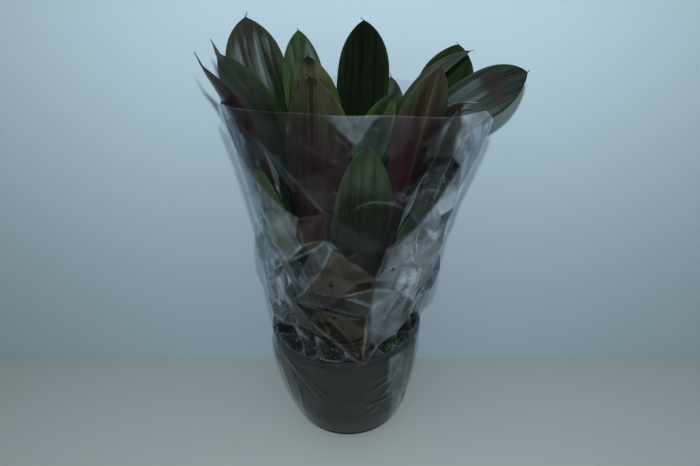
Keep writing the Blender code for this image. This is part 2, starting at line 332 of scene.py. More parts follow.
def arc(centre, radius, first, last, steps):
    """Points of an (r, z) profile round a centre, between two angles in degrees."""
    angles = (first + (last - first) * i / steps for i in range(steps + 1))
    return [
        (
            centre[0] + radius * math.cos(math.radians(a)),
            centre[1] + radius * math.sin(math.radians(a)),
        )
        for a in angles
    ]


def turned(profile, sides):
    """A bmesh turned round Z from an (r, z) profile that starts and ends on the axis."""
    bm = bmesh.new()
    verts = [bm.verts.new((r, 0, z)) for r, z in profile]
    edges = [bm.edges.new(pair) for pair in zip(verts, verts[1:])]
    bmesh.ops.spin(
        bm, geom=verts + edges, axis=(0, 0, 1), cent=(0, 0, 0), steps=sides,
        angle=2 * math.pi, use_merge=True,
    )
    bmesh.ops.remove_doubles(bm, verts=bm.verts, dist=1e-5)
    bmesh.ops.recalc_face_normals(bm, faces=bm.faces)
    return bm


def pot_radius(height):
    """The radius of the pot wall's outer face."""
    top = POT_RIM_RADIUS - POT_LIP_OVERHANG
    return POT_BASE_RADIUS + (top - POT_BASE_RADIUS) * height / POT_HEIGHT


def pot_profile():
    """The wall's (r, z) outline: the underside, up the outside, over the rim and down the inside."""
    inner = POT_RIM_RADIUS - POT_LIP_OVERHANG - POT_WALL
    roll_height = POT_HEIGHT - RIM_ROLL
    lip_round = (POT_RIM_RADIUS - POT_LIP_ROUND, POT_LIP_FOOT + POT_LIP_ROUND)
    profile = [(0, 0), (DRAIN_RING_RADIUS, 0)]
    profile += arc((POT_BASE_RADIUS - FOOT_ROUND, FOOT_ROUND), FOOT_ROUND, -90, -8, 4)
    profile += [(pot_radius(h), h) for h in (0.03, 0.07, 0.11, 0.15)]
    profile += [(pot_radius(POT_LIP_FOOT - 0.001), POT_LIP_FOOT - 0.001)]
    profile += [(pot_radius(POT_LIP_FOOT) + 0.0008, POT_LIP_FOOT)]
    profile += arc(lip_round, POT_LIP_ROUND, -90, 0, 3)
    profile += arc((POT_RIM_RADIUS - RIM_ROLL, roll_height), RIM_ROLL, 0, 90, 6)
    profile += arc((inner + RIM_ROLL, roll_height), RIM_ROLL, 90, 180, 6)
    profile += [(pot_radius(h) - POT_WALL, h) for h in (0.15, 0.08, POT_FLOOR + POT_FLOOR_CORNER)]
    profile += [(pot_radius(POT_FLOOR) - POT_WALL - POT_FLOOR_CORNER, POT_FLOOR), (0, POT_FLOOR)]
    return profile


pot_plastic, shader, place = start_material("pot_plastic")
scuffs = place.scaled((1, 1, 0.25)).noise(60, detail=4, rough=0.6).ramp(0.52, 0.8)
dust = place.noise(9, detail=3).ramp(0.35, 0.75)
low = place.axes()[2].fall(0.0, 0.05)
wall = (dust * 0.5 + low * 0.4).clamped().blend(PLASTIC, PLASTIC_DUSTY)
# The rim is painted darker: partly painted shade for the dark room that its glossy roll mirrors, partly
# plastic with less dust on it.
rim = place.axes()[2].ramp(POT_LIP_FOOT - 0.0030, POT_LIP_FOOT + 0.0005)
orange_peel = place.noise(420, detail=1)
set_shader(
    shader,
    Base_Color=rim.blend(wall, PLASTIC_RIM_SHADED),
    Roughness=0.36 + scuffs * 0.14 + dust * 0.08 - rim * 0.16,
    Normal=orange_peel.bump(0.00012, 0.35),
)
pot = add_object("nursery_pot", turned(pot_profile(), POT_SIDES), pot_plastic)

bm = bmesh.new()
for i in range(DRAIN_HOLES):
    angle = 2 * math.pi * (i + 0.5) / DRAIN_HOLES
    made = bmesh.ops.create_cone(
        bm, cap_ends=True, segments=24, radius1=DRAIN_RADIUS, radius2=DRAIN_RADIUS,
        depth=4 * POT_FLOOR,
    )
    spot = Vector((math.cos(angle), math.sin(angle), 0)) * DRAIN_RING_RADIUS
    bmesh.ops.translate(bm, verts=made["verts"], vec=spot)
punch = add_object("punch", bm, pot_plastic)
cut = pot.modifiers.new("drain_holes", "BOOLEAN")
cut.object = punch
bpy.context.view_layer.update()
finished = pot.evaluated_get(bpy.context.evaluated_depsgraph_get())
punched = bpy.data.meshes.new_from_object(finished)
pot.modifiers.clear()
pot.data = punched
bpy.data.objects.remove(punch)
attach(pot, "root")
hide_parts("pot")


# The potting mix: damp peat that fills the pot to a finger below its rim, with chips of bark and a
# few pale grains on top. The plant's stem stands in a plain hole in it.
MIX_LEVEL = 0.186
MIX_ROUGHNESS = 0.0040
MIX_SIDES = 150
MIX_RINGS = 26
SEAT_GAP = 0.0004
SIDE_GAP = 3 * SEAT_GAP
WELL_RADIUS = 0.0669
WELL_FLOOR = 0.170
SOCKET_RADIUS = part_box("stem")[1].x + 0.0014
STEM_FOOT = 0.150
BARK_CHIPS = 520
BARK_SIZES = (0.0018, 0.0068)
PALE_GRAINS = 46
GRAIN_SIZES = (0.0006, 0.0014)
PEAT_DARK = (0.006, 0.005, 0.004)
PEAT_BROWN = (0.032, 0.022, 0.014)
BARK_DARK = (0.007, 0.005, 0.004)
BARK_BROWN = (0.052, 0.033, 0.021)
GRAIN_GREY = (0.20, 0.20, 0.19)
GRAIN_PALE = (0.42, 0.42, 0.40)


def mix_profile():
    """The mix's (r, z) outline: up the pot's wall, in over the top, and down the stem's hole."""
    floor = POT_FLOOR + SEAT_GAP
    side = POT_WALL + SIDE_GAP
    top = pot_radius(MIX_LEVEL) - side
    inwards = (WELL_RADIUS - top) / MIX_RINGS
    profile = [(0, floor), (pot_radius(floor) - side - POT_FLOOR_CORNER, floor)]
    profile += [
        (pot_radius(h) - side, h) for h in (floor + POT_FLOOR_CORNER, 0.06, 0.12, MIX_LEVEL)
    ]
    profile += [(top + inwards * i, MIX_LEVEL) for i in range(1, MIX_RINGS + 1)]
    profile += [(WELL_RADIUS, WELL_FLOOR), (SOCKET_RADIUS, WELL_FLOOR - 0.001)]
    profile += [(SOCKET_RADIUS, STEM_FOOT - SEAT_GAP), (0, STEM_FOOT - SEAT_GAP)]
    return profile


def mix_height(x, y):
    """The height of the mix's rough top above its level."""
    spot = Vector((x, y, 0.3))
    lump = noise.noise(spot * 40) + 0.55 * noise.noise(spot * 110) + 0.3 * noise.noise(spot * 300)
    return MIX_ROUGHNESS * lump


peat, shader, place = start_material("peat")
tone = place.noise(150, detail=5, rough=0.7).ramp(0.35, 0.75)
crumbs = place.noise(700, detail=3, rough=0.6)
set_shader(
    shader,
    Base_Color=tone.blend(PEAT_DARK, PEAT_BROWN),
    Roughness=0.72 + tone * 0.2,
    Normal=(crumbs + tone * 0.8).bump(0.0016, 0.9),
)
bm = turned(mix_profile(), MIX_SIDES)
mix_edge = pot_radius(MIX_LEVEL) - POT_WALL - SIDE_GAP
for vert in bm.verts:
    reach = vert.co.xy.length
    if WELL_RADIUS * 1.001 < reach < mix_edge * 0.999 and vert.co.z > MIX_LEVEL - 0.001:
        vert.co.z += mix_height(vert.co.x, vert.co.y)
mix = add_object("potting_mix_fine", bm, peat, 180)
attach(mix, "root")
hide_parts("potting_mix")


def scatter(name, count, seed, material, sizes, flatness, sink):
    """Small lumps strewn over the mix, each squashed, turned and knocked out of shape."""
    rng = random.Random(seed)
    bm = bmesh.new()
    tone = bm.verts.layers.float.new("tone")
    for _ in range(count):
        reach = math.sqrt(rng.uniform((WELL_RADIUS * 0.98) ** 2, (mix_edge - 0.007) ** 2))
        heading = rng.uniform(-math.pi, math.pi)
        size = rng.uniform(*sizes)
        made = bmesh.ops.create_icosphere(bm, subdivisions=1, radius=size)
        shape = (1, rng.uniform(0.45, 0.8), rng.uniform(*flatness))
        bmesh.ops.scale(bm, vec=shape, verts=made["verts"])
        turn = Matrix.Rotation(rng.uniform(0, math.pi), 3, "Z")
        turn = turn @ Matrix.Rotation(rng.gauss(0, 0.35), 3, "X")
        turn = turn @ Matrix.Rotation(rng.gauss(0, 0.3), 3, "Y")
        bmesh.ops.rotate(bm, matrix=turn, verts=made["verts"])
        x, y = reach * math.cos(heading), reach * math.sin(heading)
        height = MIX_LEVEL + mix_height(x, y) + size * sink
        shade = rng.random()
        for vert in made["verts"]:
            vert.co *= rng.uniform(0.8, 1.15)
            vert.co += Vector((x, y, height))
            vert[tone] = shade
    return add_object(name, bm, material, 25)


bark, shader, place = start_material("bark")
chip = place.node("ShaderNodeAttribute", {}, output="Fac", attribute_name="tone")
grain = place.noise(260, detail=4, rough=0.65)
set_shader(
    shader,
    Base_Color=(chip * 0.75 + grain * 0.35).clamped().blend(BARK_DARK, BARK_BROWN),
    Roughness=0.58 + grain * 0.3,
    Normal=grain.bump(0.0008, 0.8),
)
chips = scatter("bark_chips", BARK_CHIPS, 11, bark, BARK_SIZES, (0.22, 0.5), 0.05)
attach(chips, "root")

pumice, shader, place = start_material("pumice")
pores = place.noise(900, detail=3).ramp(0.3, 0.7)
set_shader(shader, Base_Color=pores.blend(GRAIN_GREY, GRAIN_PALE), Roughness=0.85)
grains = scatter("pale_grains", PALE_GRAINS, 23, pumice, GRAIN_SIZES, (0.5, 0.9), 0.5)
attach(grains, "root")


# Seedlings that have come up in the mix on the right in front: thread-thin stalks with a pair of
# small round leaves or more each, hardly taller than the rim.
SEEDLING_SPOTS = ((0.092, -0.074), (0.084, -0.082), (0.099, -0.066), (0.076, -0.089), (0.104, -0.060))
STALK_RADII = (0.0005, 0.0004)
SEEDLING_LEAF_NARROWNESS = 0.62
SEEDLING_LEAF_THICKNESS = 0.0003
SEEDLING_DARK = (0.02, 0.055, 0.010)
SEEDLING_FRESH = (0.06, 0.14, 0.022)

seedling_green, shader, place = start_material("seedling_green")
mottling = place.noise(240, detail=2).ramp(0.3, 0.7)
set_shader(shader, Base_Color=mottling.blend(SEEDLING_DARK, SEEDLING_FRESH), Roughness=0.5)
rng = random.Random(5)
bm = bmesh.new()
for x, y in SEEDLING_SPOTS:
    foot = Vector((x, y, MIX_LEVEL + mix_height(x, y) - 0.001))
    height = rng.uniform(0.007, 0.013)
    stalk = bmesh.ops.create_cone(
        bm, cap_ends=True, segments=6, radius1=STALK_RADII[0], radius2=STALK_RADII[1], depth=height
    )
    bmesh.ops.translate(bm, verts=stalk["verts"], vec=foot + Vector((0, 0, height / 2)))
    for i in range(rng.randint(4, 6)):
        size = rng.uniform(0.0022, 0.0042)
        leaf = bmesh.ops.create_circle(bm, cap_ends=True, segments=12, radius=size)
        bmesh.ops.scale(bm, vec=(1, SEEDLING_LEAF_NARROWNESS, 1), verts=leaf["verts"])
        bmesh.ops.translate(bm, verts=leaf["verts"], vec=(size * 1.1, 0, 0))
        turn = Matrix.Rotation(rng.uniform(0.5, 6.2) + i * 1.3, 3, "Z")
        tilt = Matrix.Rotation(rng.uniform(-0.6, -0.1), 3, "Y")
        bmesh.ops.rotate(bm, matrix=turn @ tilt, verts=leaf["verts"])
        joint = foot + Vector((0, 0, height * rng.uniform(0.75, 1.0)))
        bmesh.ops.translate(bm, verts=leaf["verts"], vec=joint)
seedlings = add_object("seedlings", bm, seedling_green)
thick = seedlings.modifiers.new("thickness", "SOLIDIFY")
thick.thickness = SEEDLING_LEAF_THICKNESS
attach(seedlings, "root")


# The short stem that carries the leaves. Only slits of it show between the leaf bases, so the
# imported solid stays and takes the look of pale, fibrous old leaf bases.
FIBRE_DARK = (0.040, 0.028, 0.014)
FIBRE_PALE = (0.16, 0.125, 0.07)

stem_finish, shader, place = start_material("stem_fibre")
fibres = place.scaled((1, 1, 0.08)).noise(420, detail=4, rough=0.6)
set_shader(
    shader,
    Base_Color=fibres.ramp(0.3, 0.7).blend(FIBRE_DARK, FIBRE_PALE),
    Roughness=0.75,
    Normal=fibres.bump(0.0006, 0.7),
)
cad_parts["stem"].data.materials.clear()
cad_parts["stem"].data.materials.append(stem_finish)


# The leaves: thick glossy straps, each a piece of its own, seated round the stem and standing one
# outside the other. Low down they are sheaths; higher up they are free blades that arch outwards.
# The upper side is green and the underside, which the outer leaves show, is duller and redder.
LEAF_THICKNESS = 0.0010
LEAF_PITCH = 0.0019
FIRST_LEAF_RADIUS = 0.0085
FIRST_LEAF_HEIGHT = 0.236
LAST_LEAF_HEIGHT = 0.174
WRAP_LIMIT = math.radians(70)
FREE_BLADE = (0.35, 0.75)
TIP_HALF_WIDTH = 0.0004
NARROWER_BELOW = 0.22
RIPPLE = 0.0014
GROOVE_DEPTH = 0.0009
GROOVE_HALF_WIDTH = 0.004
LEAF_ROWS = 76
LEAF_SPANS = 16
GREEN_NIGHT = (0.006, 0.010, 0.005)
GREEN_DEEP = (0.012, 0.022, 0.008)
GREEN = (0.022, 0.038, 0.013)
GREEN_FRESH = (0.042, 0.076, 0.024)
GREEN_PALE = (0.075, 0.115, 0.033)
OLIVE = (0.040, 0.046, 0.022)
GREY_BROWN = (0.036, 0.033, 0.026)
BRONZE = (0.026, 0.020, 0.014)
MAROON = (0.022, 0.008, 0.009)
DRY = (0.016, 0.009, 0.008)
DRY_PALE = (0.24, 0.18, 0.14)
SHEEN_HIGHLIGHT = (0.15, 0.185, 0.19)
RED_STREAK = (0.030, 0.012, 0.012)
FLECK = (0.008, 0.006, 0.005)
YELLOWISH = (0.15, 0.15, 0.045)
PATCH = (0.025, 0.019, 0.017)
OLD_FOOT = (0.060, 0.042, 0.024)
LEAF_ROUGHNESS = {"upper": 0.27, "under": 0.31}

# Each leaf, from the innermost. Headings of the foot and the tip round the stem's axis; how far out
# and up the tip is; the greatest half width and how far along the leaf that is; the lean from
# upright at the foot and the tip; the heading the underside faces near the tip; how channelled the
# upper half is; the length of the thin tail; and the share of the length over which the tip's lean
# holds.
LEAVES = {
    "leaf_heart_small": (-60, -60, 0.012, 0.455, 0.016, 0.76, 2, 2, -60, 0, 0.005, 0.30),
    "leaf_heart_left": (165, 165, 0.024, 0.520, 0.024, 0.76, 3, 4, 165, 0, 0.005, 0.30),
    "leaf_heart_right": (40, 40, 0.032, 0.490, 0.028, 0.76, 4, 4, 40, 0, 0.005, 0.30),
    "leaf_front_pale": (-125, -150, 0.044, 0.685, 0.044, 0.74, 4, 2, -98, 0, 0.008, 0.30),
    "leaf_centre_right": (10, 18, 0.099, 0.613, 0.037, 0.74, 4, 26, 46, 0.1, 0.006, 0.40),
    "leaf_right_arching": (6, 8, 0.216, 0.674, 0.040, 0.74, 6, 60, 36, 0.2, 0.005, 0.36),
    "leaf_back_left": (138, 133, 0.089, 0.709, 0.038, 0.76, 6, 2, 112, 0, 0.005, 0.30),
    "leaf_back_tall": (86, 61, 0.092, 0.720, 0.045, 0.78, 10, 1, 90, 0, 0.006, 0.30),
    "leaf_left_arching": (165, 183, 0.190, 0.703, 0.040, 0.70, 12, 34, 140, 0.15, 0.030, 0.30),
    "leaf_back_middle": (100, 100, 0.108, 0.610, 0.040, 0.76, 10, 4, 98, 0, 0.006, 0.30),
    "leaf_back_right_small": (35, 48, 0.134, 0.626, 0.038, 0.76, 11, 17, 70, 0, 0.008, 0.30),
    "leaf_left_tall": (134, 154, 0.162, 0.735, 0.049, 0.80, 12, 2, 105, 0.1, 0.010, 0.30),
    "leaf_front_left": (-119, -110, 0.085, 0.665, 0.055, 0.66, 22, -3, -114, 0, 0.006, 0.30),
    "leaf_right_curled": (-6, -11, 0.215, 0.616, 0.023, 0.76, 11, 64, -40, 0.1, 0.020, 0.30),
    "leaf_right_reaching": (5, 4, 0.304, 0.639, 0.036, 0.86, 10, 72, 60, 0.3, 0.004, 0.42),
    "leaf_back_low_right": (70, 70, 0.127, 0.545, 0.038, 0.76, 12, 8, 70, 0, 0.006, 0.30),
    "leaf_right_back": (48, 22, 0.213, 0.677, 0.045, 0.80, 16, 10, 75, 0.1, 0.004, 0.30),
    "leaf_left_reaching": (-162, -165, 0.209, 0.693, 0.038, 0.70, 15, 32, -142, 0.3, 0.025, 0.30),
    "leaf_front_right": (-31, -27, 0.174, 0.676, 0.041, 0.70, 16, 15, -60, 0.1, 0.008, 0.30),
    "leaf_right_narrow": (-10, -18, 0.195, 0.610, 0.034, 0.70, 17, 6, -35, 0.2, 0.006, 0.30),
    "leaf_back_low_left": (142, 142, 0.124, 0.500, 0.040, 0.76, 10, 10, 142, 0, 0.006, 0.30),
    "leaf_right_low": (8, 8, 0.174, 0.500, 0.040, 0.76, 16, 18, 8, 0, 0.006, 0.30),
    "leaf_left_low": (-163, -161, 0.134, 0.517, 0.041, 0.70, 14, 10, -140, 0, 0.006, 0.30),
    "leaf_back_low": (106, 106, 0.118, 0.490, 0.038, 0.76, 15, 2, 106, 0, 0.006, 0.30),
    "leaf_front_short": (-80, -65, 0.111, 0.569, 0.049, 0.55, 16, -4, -80, 0, 0.006, 0.30),
    "leaf_right_front_low": (-26, -33, 0.160, 0.469, 0.028, 0.70, 15, 24, -45, 0, 0.010, 0.30),
    "leaf_left_front_low": (-142, -147, 0.129, 0.457, 0.036, 0.70, 18, 4, -130, 0, 0.006, 0.30),
}

# What a leaf's skin usually looks like, and how those of some leaves differ. Upper and under: the
# side's colours near the tip and below. Turns: between which shares of the length the first gives
# way to the second. Rim: the colour along the edges, where it starts across the leaf, and how strong
# it is. Rim_rise: over which shares of the length the rim comes in. Sheen: how strong the painted
# sheen is, pale streaks painted on as a highlight, and shine: between which distances from the tip.
# Tip: how far down it is brown, and dry: the brown's colour. Stripe, lines: the colour of a band
# along the midrib, or of a thin line at each side of it, and half: the half width. Pale: how strong
# a yellowish zone under the tip is. Red: how strong the reddish streaks are. Patch: how far from
# the tip a brown patch is.
USUAL_SKIN = dict(
    upper=(GREEN_DEEP, GREEN_DEEP), under=(OLIVE, BRONZE), turns=(0.62, 0.92),
    rim=((0.042, 0.060, 0.022), 0.86, 0.4), rim_rise=(0.2, 0.6), tip=0.010, dry=DRY,
)
SKINS = {
    "leaf_left_tall": dict(
        upper=(GREY_BROWN, GREEN_DEEP), rim=((0.028, 0.047, 0.015), 0.68, 0.75), sheen=0.9,
        shine=(0.035, 0.17), tip=0.016,
    ),
    "leaf_back_left": dict(upper=((0.028, 0.052, 0.019), GREEN_DEEP), sheen=0.55, shine=(0.01, 0.10)),
    "leaf_front_pale": dict(
        under=((0.026, 0.023, 0.015), (0.016, 0.018, 0.010)), rim=((0.034, 0.058, 0.018), 0.55, 0.85),
        tip=0.032, pale=0.35, sheen=0.15, shine=(0.02, 0.06),
    ),
    "leaf_front_left": dict(
        under=((0.031, 0.038, 0.017), (0.021, 0.010, 0.009)), rim=((0.075, 0.042, 0.018), 0.90, 0.6),
        turns=(0.70, 0.95), stripe=(0.015, 0.006, 0.007), half=0.0036, tip=0.030, red=0.6,
    ),
    "leaf_heart_left": dict(upper=(GREEN_NIGHT, GREEN_NIGHT)),
    "leaf_back_tall": dict(
        upper=((0.0055, 0.0078, 0.0048), GREEN_NIGHT), rim=((0.010, 0.021, 0.007), 0.66, 0.7),
    ),
    "leaf_left_arching": dict(
        upper=((0.009, 0.015, 0.006), GREEN_NIGHT), under=(BRONZE, BRONZE),
        rim=((0.020, 0.042, 0.010), 0.66, 0.6), sheen=0.07, shine=(0.02, 0.15),
        tip=0.042, dry=(0.060, 0.055, 0.045), red=0.3,
    ),
    "leaf_left_reaching": dict(
        under=((0.025, 0.014, 0.014), (0.021, 0.007, 0.008)), rim=((0.030, 0.012, 0.013), 0.6, 0.6),
        stripe=(0.060, 0.062, 0.034), half=0.0013, tip=0.018,
    ),
    "leaf_centre_right": dict(
        under=((0.048, 0.060, 0.022), (0.024, 0.046, 0.016)), rim=((0.024, 0.046, 0.014), 0.5, 0.7),
        tip=0.014, pale=0.5,
    ),
    "leaf_back_right_small": dict(
        upper=((0.030, 0.042, 0.026), GREEN_DEEP), sheen=0.2, shine=(0.01, 0.05),
    ),
    "leaf_front_right": dict(
        under=((0.031, 0.028, 0.017), (0.030, 0.006, 0.009)), turns=(0.68, 0.92),
        rim=((0.040, 0.050, 0.024), 0.50, 0.75), rim_rise=(0.70, 0.92),
        lines=(0.110, 0.115, 0.040), half=0.0018, tip=0.018, dry=(0.045, 0.026, 0.026), red=0.8,
    ),
    "leaf_right_arching": dict(
        upper=((0.026, 0.030, 0.018), GREEN_DEEP), under=(MAROON, MAROON),
        sheen=0.16, shine=(0.01, 0.25),
    ),
    "leaf_right_reaching": dict(
        upper=((0.021, 0.028, 0.022), (0.023, 0.036, 0.033)), under=(BRONZE, BRONZE),
        rim=((0.017, 0.034, 0.014), 0.78, 0.75), sheen=0.5, shine=(0.05, 0.20), tip=0.008, patch=0.052,
    ),
    "leaf_right_back": dict(upper=(GREEN_DEEP, GREEN_NIGHT), rim=((0.020, 0.036, 0.012), 0.7, 0.4)),
    "leaf_right_curled": dict(
        under=((0.040, 0.030, 0.018), MAROON), rim=(GREEN_FRESH, 0.75, 0.8), tip=0.026, dry=DRY_PALE,
    ),
    "leaf_right_narrow": dict(
        under=((0.032, 0.027, 0.021), (0.018, 0.011, 0.010)), lines=(0.070, 0.080, 0.030), half=0.0026,
        tip=0.018, dry=(0.020, 0.008, 0.008), rim=((0.055, 0.055, 0.045), 0.7, 0.6),
    ),
    "leaf_front_short": dict(
        under=((0.024, 0.041, 0.012), (0.014, 0.015, 0.008)), sheen=0.13, shine=(0.02, 0.10), red=0.3,
        tip=0.020, dry=(0.026, 0.012, 0.014), rim=(GREEN_FRESH, 0.8, 0.5),
    ),
    "leaf_left_low": dict(under=(GREEN_PALE, (0.016, 0.017, 0.011)), turns=(0.62, 0.84)),
    "leaf_left_front_low": dict(
        under=((0.085, 0.110, 0.045), (0.018, 0.016, 0.012)), turns=(0.66, 0.84),
    ),
    "leaf_right_front_low": dict(under=((0.026, 0.052, 0.022), GREEN)),
}

# How far the tip's tail bends: towards the leaf's left if the first is above 0, and towards its
# upper side if the second is.
TIP_BENDS = {
    "leaf_left_tall": (-0.0035, 0.000), "leaf_back_tall": (0.006, -0.002),
    "leaf_front_left": (-0.004, -0.006), "leaf_left_arching": (-0.004, 0.005),
    "leaf_left_reaching": (0.000, 0.004), "leaf_front_pale": (0.002, -0.004),
    "leaf_right_curled": (0.002, -0.008), "leaf_right_reaching": (0.002, -0.002),
    "leaf_right_back": (0.003, -0.001), "leaf_centre_right": (0.002, 0.000),
    "leaf_back_right_small": (0.004, 0.000), "leaf_front_short": (-0.002, -0.002),
    "leaf_front_right": (0.002, -0.001), "leaf_right_arching": (-0.002, -0.001),
    "leaf_right_narrow": (0.003, -0.004),
}

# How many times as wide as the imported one's the two halves of a leaf's blade are, and how much more
# channelled it is.
SPREADS = {
    "leaf_front_right": (1.22, 1.0, 0), "leaf_front_left": (1.05, 1.24, 0),
    "leaf_right_arching": (0.14, 0.60, 0.60), "leaf_right_reaching": (1.16, 1.0, 0),
    "leaf_centre_right": (0.8, 1.15, 0), "leaf_right_narrow": (1.1, 1.15, 0),
    "leaf_right_back": (1.0, 1.12, 0), "leaf_back_tall": (1.0, 0.93, 0),
    "leaf_back_left": (0.92, 1.0, 0),
}


def smooth(value, low, high):
    """0 below low, 1 above high, and an even curve between."""
    t = min(1.0, max(0.0, (value - low) / (high - low)))
    return t * t * (3 - 2 * t)


def heading_vector(degrees):
    """The level direction that points along a heading."""
    return Vector((math.cos(math.radians(degrees)), math.sin(math.radians(degrees)), 0))


def leaning(degrees, lean):
    """The direction that leans from upright towards a heading."""
    lean = math.radians(lean)
    return heading_vector(degrees) * math.sin(lean) + Vector((0, 0, math.cos(lean)))


class Leaf:
    """The shape of one leaf: a midrib that is one curve, and a strap that bends round it."""

    def __init__(self, name, order, facts):
        (
            self.foot_heading, self.tip_heading, self.reach, self.rise, self.half_width,
            self.widest, lean_foot, lean_tip, self.faces, self.channel, self.tail, tip_run,
        ) = facts
        share = order / (len(LEAVES) - 1)
        height = FIRST_LEAF_HEIGHT + (LAST_LEAF_HEIGHT - FIRST_LEAF_HEIGHT) * share
        radius = FIRST_LEAF_RADIUS + LEAF_PITCH * order
        foot = heading_vector(self.foot_heading) * radius + Vector((0, 0, height))
        tip = heading_vector(self.tip_heading) * self.reach + Vector((0, 0, self.rise))
        self.length = (tip - foot).length
        first = foot + leaning(self.foot_heading, lean_foot) * self.length * 0.42
        last = tip - leaning(self.tip_heading, lean_tip) * self.length * tip_run
        self.posts = (foot, first, last, tip)
        self.wave = order * 1.7
        self.end = 1 + self.tail / self.rise / 0.75
        self.tail_share = 1.3 * self.tail / self.length
        self.bends = TIP_BENDS.get(name, (0.0015, -0.001))
        *self.halves, more_channel = SPREADS.get(name, (1, 1, 0))
        self.channel += more_channel

    def line(self, t):
        """(position, direction) of the midrib at t, from 0 at the foot to 1 at the tip."""
        a, b, c, d = self.posts
        u = 1 - t
        place = a * u**3 + b * (3 * u * u * t) + c * (3 * u * t * t) + d * t**3
        slope = (b - a) * (3 * u * u) + (c - b) * (6 * u * t) + (d - c) * (3 * t * t)
        return place, slope.normalized()

    def half(self, t, radius):
        """Half the width: greatest some way up, less below, with a pointed arch for a tip and a tail."""
        t *= self.end
        if t < self.widest:
            share = 1 - NARROWER_BELOW + NARROWER_BELOW * smooth(t, 0.15, self.widest)
        else:
            share = max(0.0, 1 - ((t - self.widest) / (1 - self.widest)) ** 2.6) ** 0.75
        tail = TIP_HALF_WIDTH + 0.14 * self.tail * smooth(self.end - t, 0, self.end - 0.985)
        return min(max(self.half_width * share, tail), WRAP_LIMIT * radius)

    def point(self, t, across):
        """A point of the middle surface; across runs from -1 to 1 over the width."""
        middle, along = self.line(t)
        radius = middle.xy.length
        free = smooth(t, *FREE_BLADE)
        half = self.half(t, radius) * (1 + (self.halves[across > 0] - 1) * free)
        offset = across * half
        heading = math.atan2(middle.y, middle.x)
        angle = heading + offset / radius
        sheath = Vector((radius * math.cos(angle), radius * math.sin(angle), middle.z))
        turn = (self.faces - self.tip_heading) * smooth(t, 0.30, 0.85)
        side = along.cross(heading_vector(math.degrees(heading) + turn)).normalized()
        upper = along.cross(side)
        bend = side.xy.length * (1 - 0.5 * free) / radius + self.channel * free / self.half_width
        bend = max(bend, 0.5)
        blade = middle + side * (math.sin(bend * offset) / bend)
        blade += upper * ((1 - math.cos(bend * offset)) / bend)
        # The margins of the free blade wave a little, and the midrib is a shallow groove.
        ripple = math.sin(t * 19 + self.wave + (1.3 if across > 0 else 0))
        blade += upper * (RIPPLE * free * across * across * ripple * min(1, half / 0.02))
        blade -= upper * (GROOVE_DEPTH * free * math.exp(-((offset / GROOVE_HALF_WIDTH) ** 2)))
        bent = smooth(t, 1 - self.tail_share, 1.0) ** 1.5
        blade += (side * self.bends[0] + upper * self.bends[1]) * bent
        return sheath.lerp(blade, free), offset


